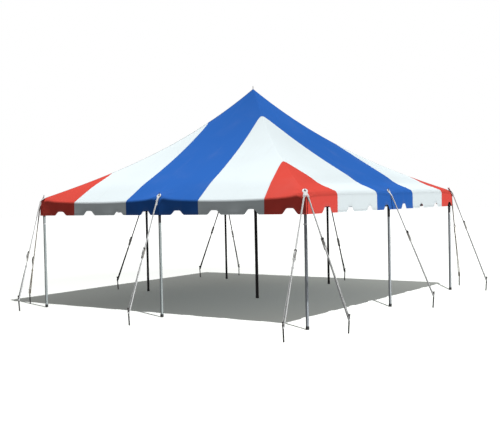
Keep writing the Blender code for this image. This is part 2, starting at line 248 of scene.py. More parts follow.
class Shader:
    """One material's nodes around a Principled shader."""

    def __init__(self, name: str) -> None:
        """Starts a material with its shader and output.

        Args:
            name: The material's name.
        """
        self.material = bpy.data.materials.new(name)
        self.material.use_nodes = True
        self.tree = self.material.node_tree
        self.tree.nodes.clear()
        self.surface = self.tree.nodes.new("ShaderNodeBsdfPrincipled")
        output = self.tree.nodes.new("ShaderNodeOutputMaterial")
        self.tree.links.new(self.surface.outputs["BSDF"], output.inputs["Surface"])

    def node(
        self,
        kind: str,
        settings: dict[str, object] | None = None,
        inputs: dict[str | int, object] | None = None,
        output: str | int = 0,
    ) -> Signal:
        """Adds a node.

        Args:
            kind: The node's type.
            settings: Its own settings, set before its sockets.
            inputs: Values or signals for its sockets.
            output: The output to return.

        Returns:
            That output.
        """
        made = self.tree.nodes.new(kind)
        for name, value in (settings or {}).items():
            setattr(made, name, value)
        for key, value in (inputs or {}).items():
            self.feed(made.inputs[key], value)
        return Signal(self, made.outputs[output])

    def feed(self, socket: bpy.types.NodeSocket, value: object) -> None:
        """Links a signal to a socket, or sets a value on it.

        Args:
            socket: The socket.
            value: The signal, number, colour or vector.
        """
        if isinstance(value, Signal):
            self.tree.links.new(value.socket, socket)
        elif isinstance(value, tuple) and socket.type == "RGBA":
            socket.default_value = (*value, 1.0)
        else:
            socket.default_value = value

    def mix(self, factor: Signal | float, low: Signal | Colour, high: Signal | Colour) -> Signal:
        """Blends two colours, from the low one at a factor of 0 to the high one at 1."""
        return self.node("ShaderNodeMix", {"data_type": "RGBA"}, {0: factor, 6: low, 7: high}, 2)

    def place(self, stretch: Colour = (1, 1, 1)) -> Signal:
        """The point of the surface in the object, with each axis stretched."""
        point = self.node("ShaderNodeTexCoord", output="Object")
        return self.node("ShaderNodeMapping", inputs={"Vector": point, "Scale": stretch})

    def cloth(self, stretch: Colour = (1, 1, 1)) -> Signal:
        """The point of the cloth's own map, in metres, with each axis stretched."""
        point = self.node("ShaderNodeUVMap", {"uv_map": CLOTH_UV})
        return self.node("ShaderNodeMapping", inputs={"Vector": point, "Scale": stretch})

    def noise(self, place: Signal, scale: float, detail: float = 2.0, roughness: float = 0.5) -> Signal:
        """Soft clouds from 0 to 1: how many in a metre, and how many finer levels of what strength."""
        values = {"Vector": place, "Scale": scale, "Detail": detail, "Roughness": roughness}
        return self.node("ShaderNodeTexNoise", inputs=values)

    def attribute(self, name: str) -> Signal:
        """A number that the mesh carries at each point."""
        return self.node("ShaderNodeAttribute", {"attribute_name": name}, output="Fac")

    def parts(self, vector: Signal) -> tuple[Signal, Signal, Signal]:
        """The three numbers of a vector."""
        made = self.tree.nodes.new("ShaderNodeSeparateXYZ")
        self.feed(made.inputs[0], vector)
        return tuple(Signal(self, socket) for socket in made.outputs)

    def finish(
        self,
        colour: Signal | Colour,
        roughness: Signal | float,
        metallic: Signal | float = 0.0,
        height: Signal | None = None,
        specular: float = 0.5,
    ) -> Material:
        """Feeds the shader.

        Args:
            colour: The surface's colour.
            roughness: Its roughness.
            metallic: How metallic it is.
            height: Its relief in metres.
            specular: Its specular level.

        Returns:
            The finished material.
        """
        values = {"Base Color": colour, "Roughness": roughness, "Metallic": metallic}
        for name, value in values.items():
            self.feed(self.surface.inputs[name], value)
        self.surface.inputs["Specular IOR Level"].default_value = specular
        if height is not None:
            bump = self.node("ShaderNodeBump", inputs={"Strength": 1.0, "Distance": 1.0, "Height": height})
            self.feed(self.surface.inputs["Normal"], bump)
        return self.material


# Finishes


@dataclass(frozen=True)
class StripedVinyl:
    """Coated cloth in three colours, welded along the stripes and hemmed."""

    name: str = "striped_vinyl"
    blue: Colour = (0.024, 0.108, 0.39)
    white: Colour = (0.605, 0.668, 0.686)
    red: Colour = (0.535, 0.061, 0.046)
    # Painted light: the valance's red is lighter, for the glow through the vinyl where the valance hangs in
    # shade.
    valance_red: Colour = (0.60, 0.068, 0.053)
    grime: Colour = (0.30, 0.29, 0.27)
    # A dark line along each hip: its seam, darkened further as painted shade of the hip's fold.
    crease: Colour = (0.07, 0.07, 0.08)
    edge: float = 0.002  # half the width over which two colours meet
    weld: float = 0.014  # half the width of a welded seam
    weld_height: float = 0.0007
    weld_slope: float = 0.002
    hip_line: Pair = (0.022, 0.060)  # where the dark line along a hip, its seam and painted shade, fades out
    hem_seam: float = 0.024  # height of the hem's seam
    stitch: float = 0.003  # width over which a seam's own line fades out
    dirty_hem: float = 0.09
    off_valance: Pair = (0.25, 0.9)  # where the valance's painted glow fades, between the valance's heights above the hem and the roof's 1
    thread: float = 0.0016  # spacing of the base cloth's threads
    thread_height: float = 0.00001
    slack: float = 0.0045
    ripple: float = 0.0007
    crease_height: float = 0.0016  # of the creases that fan out from a pole
    crease_reach: Pair = (0.05, 0.55)

    def build(self) -> Material:
        """Makes the material.

        Returns:
            The material.
        """
        shader = Shader(self.name)
        blue, red, hip, hem = (shader.attribute(name) for name in ("blue", "red", "hip", "hem"))
        # The red is lighter on the valance: painted light for the glow through the vinyl in shade.
        painted_glow_on_valance = hem.fade(*self.off_valance, 1.0, 0.0)
        colour = shader.mix(blue.fade(-self.edge, self.edge), self.white, self.blue)
        red_cloth = shader.mix(painted_glow_on_valance, self.red, self.valance_red)
        colour = shader.mix(red.fade(-self.edge, self.edge), colour, red_cloth)
        broad = shader.noise(shader.cloth(), 1.3, 3.0)
        streaks = shader.noise(shader.cloth((9.0, 0.7, 1.0)), 1.0, 3.0)
        soiled = broad.fade(0.45, 0.8, 0.0, 0.05) + streaks.fade(0.55, 0.8, 0.0, 0.04)
        soiled = soiled + hem.fade(0.0, self.dirty_hem, 0.07, 0.0)
        seam = abs(blue).least(abs(red))
        meeting = seam.fade(self.edge, 3 * self.edge, 0.22, 0.0)
        line = meeting + abs(seam - self.weld).fade(0.0, self.stitch, 0.10, 0.0)
        colour = shader.mix(soiled + line, colour, self.grime)
        # Darkens each hip: the seam's line and painted shade of the fold.
        colour = shader.mix(hip.fade(*self.hip_line, 0.42, 0.0), colour, self.crease)
        height = self.relief(shader, seam, broad)
        return shader.finish(colour, streaks.fade(0.3, 0.8, 0.58, 0.72), height=height, specular=0.0)

    def relief(self, shader: Shader, seam: Signal, broad: Signal) -> Signal:
        """The cloth's relief: welds, hems, threads, slack, and creases that fan out from the poles.

        Args:
            shader: The material's nodes.
            seam: Distance from the nearest line between two colours.
            broad: Broad clouds over the cloth.

        Returns:
            The relief in metres.
        """
        hip, hem, pull, fan = (shader.attribute(name) for name in ("hip", "hem", "pull", "fan"))
        welded = seam.fade(self.weld - self.weld_slope, self.weld + self.weld_slope, self.weld_height, 0.0)
        hipped = hip.fade(self.weld, self.weld + 2 * self.weld_slope, self.weld_height, 0.0)
        hemmed = abs(hem - self.hem_seam).fade(0.0, self.stitch, -self.weld_height, 0.0)
        across, down, _ = shader.parts(shader.cloth())
        pitch = 2 * math.pi / self.thread
        weave = ((across * pitch).sine() + (down * pitch).sine()) * self.thread_height
        slack = (shader.noise(shader.cloth((1.0, 0.45, 1.0)), 2.6, 2.0) - 0.5) * self.slack
        ripple = (shader.noise(shader.cloth((1.0, 0.6, 1.0)), 9.0, 2.0) - 0.5) * self.ripple
        creased = (fan * 11.0 + broad * 6.0).sine() * pull.fade(*self.crease_reach, self.crease_height, 0.0)
        creased = creased * pull.fade(0.02, 0.10) * hem.fade(0.22, 0.9)
        return welded + hipped + hemmed + weave + slack + ripple + creased


@dataclass(frozen=True)
class Zinc:
    """Galvanised steel: dull grey with spangle, runs and a few stains."""

    name: str
    light: Colour
    dark: Colour
    metallic: float
    stain: Colour = (0.16, 0.14, 0.12)
    spangle: float = 160.0  # flakes in a metre
    roughness: Pair = (0.42, 0.62)

    def build(self) -> Material:
        """Makes the material.

        Returns:
            The material.
        """
        shader = Shader(self.name)
        place = shader.place()
        cells = shader.node("ShaderNodeTexVoronoi", inputs={"Vector": place, "Scale": self.spangle})
        clouds = shader.noise(shader.place((1.0, 1.0, 0.18)), 14.0, 4.0)
        grain = shader.noise(place, 420.0, 2.0)
        colour = shader.mix(clouds * 0.7 + cells * 0.4, self.dark, self.light)
        stained = shader.noise(shader.place((1.0, 1.0, 0.3)), 6.0, 6.0, 0.65).fade(0.58, 0.78, 0.0, 0.6)
        colour = shader.mix(stained, colour, self.stain)
        roughness = (clouds * 0.6 + grain * 0.4).fade(0.2, 0.8, *self.roughness)
        height = grain * 0.00006 + cells * 0.00008
        return shader.finish(colour, roughness, self.metallic, height)


@dataclass(frozen=True)
class RustedSteel:
    """Bare dark steel with rust and scraped bright edges."""

    name: str = "stake_steel"
    steel: Colour = (0.055, 0.055, 0.058)
    rust: Colour = (0.11, 0.062, 0.038)
    scraped: Colour = (0.22, 0.22, 0.22)
    amount: float = 0.5

    def build(self) -> Material:
        """Makes the material.

        Returns:
            The material.
        """
        shader = Shader(self.name)
        place = shader.place()
        patches = shader.noise(place, 38.0, 6.0, 0.65)
        grain = shader.noise(place, 300.0, 4.0)
        rusted = (patches + grain * 0.3).fade(0.62, 0.86, 0.0, self.amount)
        colour = shader.mix(rusted, self.steel, self.rust)
        scrapes = shader.noise(shader.place((1.0, 1.0, 0.2)), 90.0, 2.0).fade(0.66, 0.74, 0.0, 0.5)
        colour = shader.mix(scrapes, colour, self.scraped)
        roughness = rusted.fade(0.0, 0.6, 0.45, 0.85)
        height = patches * 0.0006 + grain * 0.00015
        return shader.finish(colour, roughness, 0.6, height)


@dataclass(frozen=True)
class WovenStrap:
    """Polyester webbing with a herringbone weave, soiled towards the ground."""

    name: str
    tone: Colour
    soil: Colour = (0.17, 0.15, 0.12)
    pitch: float = 0.0032  # of the herringbone's ribs
    height: float = 0.00022
    selvedge: Pair = (0.0098, 0.0122)  # from the strap's middle line

    def build(self) -> Material:
        """Makes the material.

        Returns:
            The material.
        """
        shader = Shader(self.name)
        along, across, _ = shader.parts(shader.cloth())
        slant = (along + abs(across)) * (2 * math.pi / self.pitch)
        ribs = slant.sine()
        edge = abs(across).fade(*self.selvedge)
        dirt = shader.noise(shader.cloth((1.0, 0.4, 1.0)), 9.0, 5.0, 0.6).fade(0.48, 0.8, 0.0, 0.45)
        colour = shader.mix(dirt + edge * 0.12 + ribs * 0.06, self.tone, self.soil)
        roughness = ribs.fade(-1.0, 1.0, 0.92, 0.74)
        return shader.finish(colour, roughness, height=ribs * self.height, specular=0.2)


@dataclass(frozen=True)
class Moulded:
    """Black rubber or plastic, dusty in its pores."""

    name: str = "moulded_black"
    colour: Colour = (0.025, 0.025, 0.027)
    dust: Colour = (0.13, 0.125, 0.115)

    def build(self) -> Material:
        """Makes the material.

        Returns:
            The material.
        """
        shader = Shader(self.name)
        grain = shader.noise(shader.place(), 240.0, 3.0)
        dusty = shader.noise(shader.place(), 22.0, 5.0, 0.6).fade(0.45, 0.8, 0.0, 0.5)
        colour = shader.mix(dusty, self.colour, self.dust)
        return shader.finish(colour, dusty.fade(0.0, 0.5, 0.5, 0.85), height=grain * 0.00012)


class Finishes:
    """Every finish of the tent, each built once."""

    def __init__(self) -> None:
        """Builds the materials."""
        self.vinyl = StripedVinyl().build()
        self.tube = {tone: Zinc(f"galvanised_{tone.name.lower()}", *tone.value).build() for tone in Tube}
        self.plate = Zinc("plate_steel", (0.80, 0.81, 0.82), (0.60, 0.61, 0.62), 0.15).build()
        self.fitting = Zinc("ratchet_steel", (0.66, 0.65, 0.61), (0.34, 0.32, 0.29), 0.3).build()
        self.stake = RustedSteel().build()
        self.rod = RustedSteel("pin_steel", (0.09, 0.09, 0.095), amount=0.25).build()
        self.rubber = Moulded().build()
        self.strap = {
            tone: WovenStrap(f"webbing_{tone.name.lower()}", tone.value).build() for tone in Webbing
        }


# The bench: Blender's own tools on one mesh at a time


class Picked(Enum):
    """What is picked in edit mode, by the name of its select mode."""

    FACES = "FACE"
    EDGES = "EDGE"


def along(axis: int) -> Callable[[bmesh.types.BMEdge], bool]:
    """A test for the edges that run along axis 0, 1 or 2."""
    return lambda edge: abs((edge.verts[1].co - edge.verts[0].co).normalized()[axis]) > 0.99


def facing(axis: int, sign: int) -> Callable[[bmesh.types.BMFace], bool]:
    """A test for the faces that look along an axis, up it for 1 and down it for -1."""
    return lambda face: face.normal[axis] * sign > 0.9


class Bench:
    """Models pieces with Blender's operators."""

    @staticmethod
    def alone(obj: Object) -> None:
        """Selects one object and nothing else."""
        bpy.ops.object.select_all(action="DESELECT")
        obj.select_set(True)
        bpy.context.view_layer.objects.active = obj

    @staticmethod
    def _added(name: str) -> Object:
        """Names the primitive just added and gives its mesh its place.

        Args:
            name: The object's name.

        Returns:
            The object.
        """
        obj = bpy.context.active_object
        obj.name = obj.data.name = name
        Bench.alone(obj)
        bpy.ops.object.transform_apply(location=True, rotation=True, scale=True)
        return obj

    @staticmethod
    @contextmanager
    def editing(obj: Object) -> Iterator[None]:
        """Holds an object in edit mode.

        Args:
            obj: The object.

        Yields:
            Nothing, while the object is in edit mode.
        """
        Bench.alone(obj)
        bpy.ops.object.mode_set(mode="EDIT")
        bpy.ops.mesh.select_mode(type="FACE")
        try:
            yield
        finally:
            bpy.ops.object.mode_set(mode="OBJECT")

    @staticmethod
    def pick(obj: Object, kind: Picked, test: Callable[[object], bool]) -> None:
        """Selects the faces or edges that pass a test, in edit mode.

        Args:
            obj: The object in edit mode.
            kind: Faces or edges.
            test: What a chosen one passes.
        """
        bpy.ops.mesh.select_mode(type=kind.value)
        bpy.ops.mesh.select_all(action="DESELECT")
        bm = bmesh.from_edit_mesh(obj.data)
        for item in getattr(bm, kind.name.lower()):
            if test(item):
                item.select_set(True)
        bm.select_flush_mode()
        bmesh.update_edit_mesh(obj.data)

    @staticmethod
    def extrude(rise: float) -> None:
        """Extrudes the faces that are selected, by a rise along Z."""
        bpy.ops.mesh.extrude_region_move(TRANSFORM_OT_translate={"value": (0, 0, rise)})

    @staticmethod
    def outward() -> None:
        """Turns every face of the mesh in edit mode outwards."""
        bpy.ops.mesh.select_all(action="SELECT")
        bpy.ops.mesh.normals_make_consistent(inside=False)

    @staticmethod
    def disc(name: str, sides: int, radius: float, height: float, turn: float = 0.0) -> Object:
        """A level disc about Z.

        Args:
            name: The object's name.
            sides: How many sides it has.
            radius: Its radius.
            height: Its height.
            turn: How far it is turned about Z.

        Returns:
            The disc.
        """
        bpy.ops.object.select_all(action="DESELECT")
        bpy.ops.mesh.primitive_circle_add(
            vertices=sides, radius=radius, fill_type="NGON", location=(0, 0, height), rotation=(0, 0, turn)
        )
        return Bench._added(name)

    @staticmethod
    def turned(name: str, sections: Sequence[Pair], sides: int) -> Object:
        """A round piece about Z, pulled up ring by ring from a disc.

        Args:
            name: The object's name.
            sections: Radius and height of each ring from the bottom up.
            sides: How many sides the rings have.

        Returns:
            The closed round piece.
        """
        obj = Bench.disc(name, sides, *sections[0])
        with Bench.editing(obj):
            bpy.ops.mesh.select_all(action="SELECT")
            for (before, start), (after, end) in zip(sections, sections[1:]):
                Bench.extrude(end - start)
                ratio = after / before
                bpy.ops.transform.resize(value=(ratio, ratio, 1), center_override=(0, 0, end))
            Bench.outward()
        return obj

    @staticmethod
    def block(name: str, size: Size, centre: Size = (0, 0, 0)) -> Object:
        """A block to be shaped further, with its sides along the axes.

        Args:
            name: The object's name.
            size: Its size along X, Y and Z.
            centre: Its middle.

        Returns:
            The block.
        """
        bpy.ops.object.select_all(action="DESELECT")
        bpy.ops.mesh.primitive_cube_add(size=1, location=centre, scale=size)
        return Bench._added(name)

    @staticmethod
    def round_ends(obj: Object, axis: int, radius: float, steps: int = 4) -> None:
        """Rounds the edges that run along an axis.

        Args:
            obj: The block.
            axis: 0, 1 or 2, for the edges along X, Y or Z.
            radius: The rounding's radius.
            steps: How many segments it has.
        """
        with Bench.editing(obj):
            Bench.pick(obj, Picked.EDGES, along(axis))
            bpy.ops.mesh.bevel(offset=radius, segments=steps, affect="EDGES")

    @staticmethod
    def divide(obj: Object, cuts: int) -> None:
        """Divides a strip that lies along X into cuts + 1 lengths."""
        with Bench.editing(obj):
            Bench.pick(obj, Picked.EDGES, along(0))
            bpy.ops.mesh.subdivide(number_cuts=cuts)

    @staticmethod
    def modify(obj: Object, kind: str, **settings: object) -> None:
        """Adds a modifier and applies it.

        Args:
            obj: The object.
            kind: The modifier's type.
            settings: Its settings.
        """
        Bench.alone(obj)
        modifier = obj.modifiers.new(kind.lower(), kind)
        for name, value in settings.items():
            setattr(modifier, name, value)
        bpy.ops.object.modifier_apply(modifier=modifier.name)

    @staticmethod
    def cut(obj: Object, tool: Object, operation: str = "DIFFERENCE") -> None:
        """Cuts a tool out of an object, or joins it on, and removes the tool."""
        Bench.modify(obj, "BOOLEAN", object=tool, operation=operation, solver="EXACT")
        bpy.data.objects.remove(tool, do_unlink=True)

    @staticmethod
    def ease(obj: Object, width: float, segments: int = 2) -> None:
        """Rounds every sharp edge a little and smooths the shading between them."""
        limit = {"limit_method": "ANGLE", "angle_limit": SMOOTH_ANGLE}
        Bench.modify(obj, "BEVEL", width=width, segments=segments, **limit)
        Bench.smooth(obj)

    @staticmethod
    def smooth(obj: Object) -> None:
        """Shades an object smooth except over sharp edges."""
        Bench.alone(obj)
        bpy.ops.object.shade_smooth_by_angle(angle=SMOOTH_ANGLE)

    @staticmethod
    def paint(obj: Object, material: Material, test: Callable[[Vector], bool] = lambda centre: True) -> None:
        """Gives an object's faces a material.

        Args:
            obj: The object.
            material: The material to add.
            test: Which faces take it, by their centre.
        """
        obj.data.materials.append(material)
        index = len(obj.data.materials) - 1
        for polygon in obj.data.polygons:
            if test(polygon.center):
                polygon.material_index = index

    @staticmethod
    def _map(obj: Object, place: Callable[[Vector, Vector], Pair]) -> None:
        """Gives an object the cloth's own map.

        Args:
            obj: The object.
            place: U and V at a point of a face, by the point and the face's centre.
        """
        layer = obj.data.uv_layers.get(CLOTH_UV) or obj.data.uv_layers.new(name=CLOTH_UV)
        for polygon in obj.data.polygons:
            for index in polygon.loop_indices:
                point = obj.data.vertices[obj.data.loops[index].vertex_index].co
                layer.data[index].uv = place(point, polygon.center)

    @staticmethod
    def map_flat(obj: Object) -> None:
        """Maps a strap lying along X: its length to U and its width to V."""
        Bench._map(obj, lambda point, centre: (point.x, point.y))

    @staticmethod
    def map_round(obj: Object) -> None:
        """Maps a band round Z: the way round to U and its width to V.

        Args:
            obj: The band.
        """

        def place(point: Vector, centre: Vector) -> Pair:
            """U and V at a point, on the same turn as its face's centre."""
            turn = math.atan2(point.y, point.x)
            turn += round((math.atan2(centre.y, centre.x) - turn) / (2 * math.pi)) * 2 * math.pi
            return turn * math.hypot(point.x, point.y), point.z

        Bench._map(obj, place)


@dataclass
class Copy:
    """A copy of a modelled part, and how it is placed."""

    part: Object
    place: Matrix = field(default_factory=lambda: Matrix.Identity(4))
    stretch: float = 1.0  # along the part's own X


@dataclass
class Store:
    """Parts that are modelled once, and the pieces that are put together from their copies."""

    parts: list[Object] = field(default_factory=list)

    def keep(self, obj: Object) -> Object:
        """Keeps a modelled part for copying."""
        self.parts.append(obj)
        return obj

    def assemble(self, name: str, copies: Sequence[Copy], repaint: Repaint | None = None) -> Object:
        """Makes one piece from copies of parts.

        Args:
            name: The piece's name.
            copies: The copies, each with its place.
            repaint: The material that takes the place of a part's, or of none at all.

        Returns:
            The piece, at the origin, with its place in its mesh.
        """
        bm = bmesh.new()
        listed: list[Material | None] = []
        for copy in copies:
            mesh = copy.part.data.copy()
            own = list(copy.part.data.materials) or [None]
            painted = [(repaint or {}).get(material, material) for material in own]
            listed += [material for material in dict.fromkeys(painted) if material not in listed]
            for polygon in mesh.polygons:
                polygon.material_index = listed.index(painted[polygon.material_index])
            if copy.stretch != 1.0:
                for layer in mesh.uv_layers:
                    for item in layer.data:
                        item.uv.x *= copy.stretch
            mesh.transform(copy.place @ Matrix.Diagonal((copy.stretch, 1, 1, 1)))
            bm.from_mesh(mesh)
            bpy.data.meshes.remove(mesh)
        mesh = bpy.data.meshes.new(name)
        bm.to_mesh(mesh)
        bm.free()
        for material in listed:
            mesh.materials.append(material)
        piece = bpy.data.objects.new(name, mesh)
        bpy.context.scene.collection.objects.link(piece)
        return piece

    def clear(self) -> None:
        """Removes the parts when every piece has its copies."""
        for obj in self.parts:
            mesh = obj.data
            bpy.data.objects.remove(obj, do_unlink=True)
            bpy.data.meshes.remove(mesh)
        self.parts.clear()


@dataclass
class SubAssembly:
    """A part of the tent, put together from the store's parts in the tent's finishes."""

    store: Store
    finishes: Finishes


def settle(piece: Object, slot: str, *nodes: str) -> Object:
    """Ties a finished piece to the frame and reports it.

    Args:
        piece: The piece.
        slot: The name of a material slot; not used.
        nodes: The frame's nodes that it stands for.

    Returns:
        The piece.
    """
    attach(piece, BODY)
    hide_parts(*nodes)
    triangles = sum(len(polygon.vertices) - 2 for polygon in piece.data.polygons)
    LOG.info("%s: %d triangles, for %s", piece.name, triangles, ", ".join(nodes) or "no node")
    return piece


# Canopy


@dataclass(frozen=True)
class Cut:
    """One side of the canopy: its scallops, its eave, and where its colours meet at the hem and on its hips.

    Distances along the side run from left to right as seen from outside, from the side's middle.
    """

    side: Side
    notches: tuple[float, ...]
    blue: Pair  # both ends of the blue at the hem
    red: Pair  # the inner ends of the red at the hem
    left: Pair  # on the left hip, where the white and where the red begin
    right: Pair  # on the right hip
    sag: float  # of the roof below the straight line from peak to eave
    drop: float  # of the eave between its poles
    rounding: Pair  # how far in and how far down the eave is rounded between its poles
    depths: tuple[float, ...]  # of the notches, against the usual one
    widths: tuple[float, ...]
    dip: float = 0.0  # of the roof just above the eave
    soft_hip: int = 0  # 1 or -1 where the seam and the dark line of the right or left hip don't show
    folds: tuple[tuple[float, float, float], ...] = ()  # of the valance: where, how wide at the hem, how deep


@dataclass
class Canopy:
    """The top and its valance: one striped sheet with a scalloped hem."""

    peak: float = 4.316
    eave: float = 2.155
    hem: float = 1.812
    swing_below: float = 2.04  # the valance stands out of its plane below this height
    hip_sag: float = 0.26
    sag_skew: float = 0.25
    drop_from: float = 2.6
    bay_power: float = 0.5
    peak_hole: float = 0.013
    pole_round: Pair = (0.12, 0.105)  # how far in and how far down the eave is rounded at a pole
    pull_reach: float = 0.085
    level_reach: float = 0.16  # how far from a pole the eave keeps its height
    dip_at: Pair = (2.42, 2.98)  # where the roof dips just above the eave
    notch_half: float = 0.14
    notch_depth: float = 0.085
    notch_crown: float = 0.3
    thickness: float = 0.0016
    hem_band: float = 0.024
    hem_extra: float = 0.0012  # how much thicker the hem is
    apex_round: float = 0.055
    wave: float = 0.006
    roof_rows: int = 26
    round_rows: int = 10
    valance_rows: int = 9
    corner_round: float = 0.010
    notch_marks: tuple[float, ...] = (0, 0.1, 0.24, 0.38, 0.5, 0.62, 0.74, 0.86, 1, 1.2)  # in half notches
    corner_marks: tuple[float, ...] = (0, 0.006, 0.012, 0.02, 0.03, 0.055, 0.1)  # from a corner
    pole_marks: tuple[float, ...] = (0, 0.03, 0.07)  # from the pole in the middle
    column_gap: Pair = (0.004, 0.062)  # least and greatest
    flat: Pair = (8.2, 8.2)
    area: float = 53.9
    cuts: tuple[Cut, ...] = (
        Cut(
            side=Side.FRONT_LEFT,
            notches=(-2.47, -1.70, -0.94, -0.28, 0.45, 1.25, 2.01, 2.75),
            blue=(-0.755, 0.91),
            red=(-2.09, 2.265),
            left=(0.68, 2.06),
            right=(0.63, 1.925),
            sag=0.20,
            drop=0.075,
            rounding=(0.03, 0.04),
            depths=(0.86, 0.97, 0.76, 0.95, 0.90, 0.9, 1.05, 1.15),
            widths=(1.2, 1.15, 0.92, 0.9, 1.1, 1.1, 1.1, 1.15),
            soft_hip=1,
            folds=((0.02, 0.36, 0.026), (-3.0, 0.28, 0.018)),
        ),
        Cut(
            side=Side.FRONT_RIGHT,
            notches=(-2.40, -1.61, -0.88, -0.19, 0.56, 1.39, 2.12, 2.88),
            blue=(-0.59, 0.97),
            red=(-2.05, 2.45),
            left=(0.63, 1.925),
            right=(1.25, 2.36),
            sag=0.16,
            drop=-0.025,
            rounding=(0.055, 0.08),
            depths=(1.3, 1.05, 1.0, 1.1, 1.15, 0.95, 1.0, 1.0),
            widths=(1.35, 1.0, 0.85, 0.95, 0.95, 0.9, 0.9, 0.9),
            dip=0.03,
            soft_hip=-1,
        ),
        Cut(
            side=Side.BACK_RIGHT,
            notches=(-2.56, -1.88, -1.13, -0.37, 0.38, 1.14, 1.90, 2.66),
            blue=(-0.90, 0.85),
            red=(-2.35, 2.20),
            left=(1.25, 2.36),
            right=(0.90, 2.15),
            sag=0.16,
            drop=0.0,
            rounding=(0.045, 0.06),
            depths=(1.15, 1.15, 1.0, 1.0, 0.85, 1.05, 0.95, 1.1),
            widths=(1.45, 1.2, 1.1, 1.0, 0.9, 0.95, 1.05, 1.0),
        ),
        Cut(
            side=Side.BACK_LEFT,
            notches=(-2.76, -2.02, -1.26, -0.50, 0.25, 1.00, 1.75, 2.52),
            blue=(-0.80, 0.75),
            red=(-2.20, 2.10),
            left=(0.90, 2.15),
            right=(0.68, 2.06),
            sag=0.18,
            drop=0.02,
            rounding=(0.045, 0.06),
            depths=(0.95, 1.0, 1.1, 0.85, 1.0, 0.9, 1.1, 1.05),
            widths=(0.95, 1.0, 0.9, 0.95, 0.9, 1.0, 1.1, 1.1),
        ),
    )
    sheet: Object | None = field(default=None, init=False)

    def close(self, t: float, reach: float, power: int = 2) -> float:
        """1 at a pole, falling to 0 as far as reach from it and beyond."""
        off = min(abs(t * Layout.half - place * Layout.pole_half) for place in (-1, 0, 1))
        return math.exp(-((off / reach) ** power))

    def bay(self, t: float) -> float:
        """0 at a pole and 1 halfway between two poles."""
        rise = abs(math.sin(math.pi * t * Layout.half / Layout.pole_half)) ** self.bay_power
        return rise * (1 - self.close(t, self.level_reach))

    def roof_height(self, d: float, t: float, cut: Cut) -> float:
        """Height of the top.

        Args:
            d: Distance from the middle, square to the side.
            t: From -1 to 1 between the side's two hips.
            cut: The side.

        Returns:
            The height.
        """
        s = d / Layout.pole_half
        sag = (cut.sag + (self.hip_sag - cut.sag) * t**2) * (1 + self.sag_skew * (1 - 2 * s))
        bay = self.bay(t)
        drop = cut.drop * bay * max(d - self.drop_from, 0) / (Layout.half - self.drop_from)
        low, high = self.dip_at
        if low < d < high:
            drop += cut.dip * bay * math.sin(math.pi * (d - low) / (high - low)) ** 2
        return self.peak + (self.eave - self.peak) * s - 4 * sag * s * (1 - s) - drop

    def notch_columns(self, cut: Cut) -> list[float]:
        """Where a side's columns stand, close together on each notch.

        Args:
            cut: The side.

        Returns:
            Their places, from -1 up to but not at 1.
        """
        marks = {
            middle + self.notch_half * wide * step * sign
            for middle, wide in zip(cut.notches, cut.widths)
            for step in self.notch_marks
            for sign in (-1, 1)
        }
        marks = {u for u in marks if abs(u) < Layout.half - 0.02}
        marks |= {sign * (Layout.half - off) for off in self.corner_marks for sign in (-1, 1)}
        marks |= {sign * off for off in self.pole_marks for sign in (-1, 1)}
        ordered = sorted(marks)
        least, greatest = self.column_gap
        columns = [ordered[0]]
        for u in ordered[1:]:
            gap = u - columns[-1]
            if gap < least:
                continue
            parts = max(1, math.ceil(gap / greatest))
            columns += [columns[-1] + gap * k / parts for k in range(1, parts + 1)]
        return [u / Layout.half for u in columns[:-1]]

    def hem_height(self, u: float, cut: Cut) -> float:
        """Height of the hem: level, with a notch cut up into it at each scallop's end.

        Args:
            u: Distance along the side.
            cut: The side.

        Returns:
            The height.
        """
        index = min(range(len(cut.notches)), key=lambda k: abs(u - cut.notches[k]))
        off = abs(u - cut.notches[index]) / (self.notch_half * cut.widths[index])
        if off >= 1:
            return self.hem
        fall = max(off - self.notch_crown, 0) / (1 - self.notch_crown)
        return self.hem + self.notch_depth * cut.depths[index] * (1 - fall**2 * (3 - 2 * fall))

    def section(self, t: float, cut: Cut) -> list[Pair]:
        """The sheet's outer line from peak to hem.

        Args:
            t: From -1 to 1 between the side's two hips.
            cut: The side.

        Returns:
            Its points, each as distance from the middle and height.
        """
        near = self.close(t, self.pull_reach, 4)
        back, down = (near * at + (1 - near) * between for at, between in zip(self.pole_round, cut.rounding))
        start = Layout.half - back
        reach = start - self.peak_hole
        line = [self.peak_hole + reach * (k / self.roof_rows) ** 1.1 for k in range(self.roof_rows + 1)]
        points = [(d, self.roof_height(d, t, cut)) for d in line]
        high, edge = points[-1][1], self.roof_height(Layout.half, t, cut)
        for k in range(1, self.round_rows + 1):
            part = k / self.round_rows
            rest = (1 - part) ** 2
            z = high * rest + 2 * edge * part * (1 - part) + (edge - down) * part**2
            points.append((start * rest + Layout.half * (1 - rest), z))
        low = self.hem_height(t * Layout.half, cut)
        high = points[-1][1]
        band = [low + self.hem_band, low + self.hem_band * 0.9, low + 0.002, low]
        rows = [high + (band[0] - high) * k / self.valance_rows for k in range(1, self.valance_rows)]
        return points + [(Layout.half, z) for z in rows + band]

    def bulge(self, u: float, z: float, t: float, cut: Cut) -> float:
        """How far the valance stands out of its plane: slow waves and folds that grow towards the hem.

        Args:
            u: Distance along the side.
            z: Height.
            t: From -1 to 1 between the side's two hips.
            cut: The side.

        Returns:
            The distance outwards.
        """
        grow = min(max((self.swing_below - z) / (self.swing_below - self.hem), 0), 1) ** 1.5
        phase = math.radians(cut.side.value)
        turn = 2 * math.pi * u
        wave = 0.6 * math.sin(turn / 0.93 + phase) + 0.4 * math.sin(turn / 0.41 + 2 * phase)
        out = self.wave * grow * wave * (1 - abs(t) ** 10)
        down = min(max((self.eave - z) / (self.eave - self.hem), 0), 1)
        for middle, wide, deep in cut.folds:
            s = (u - middle) / (wide * max(down, 0.05))
            out += deep * down * (max(1 - s, 0) if s > 0 else math.exp(-((s / 0.12) ** 2)))
        return out

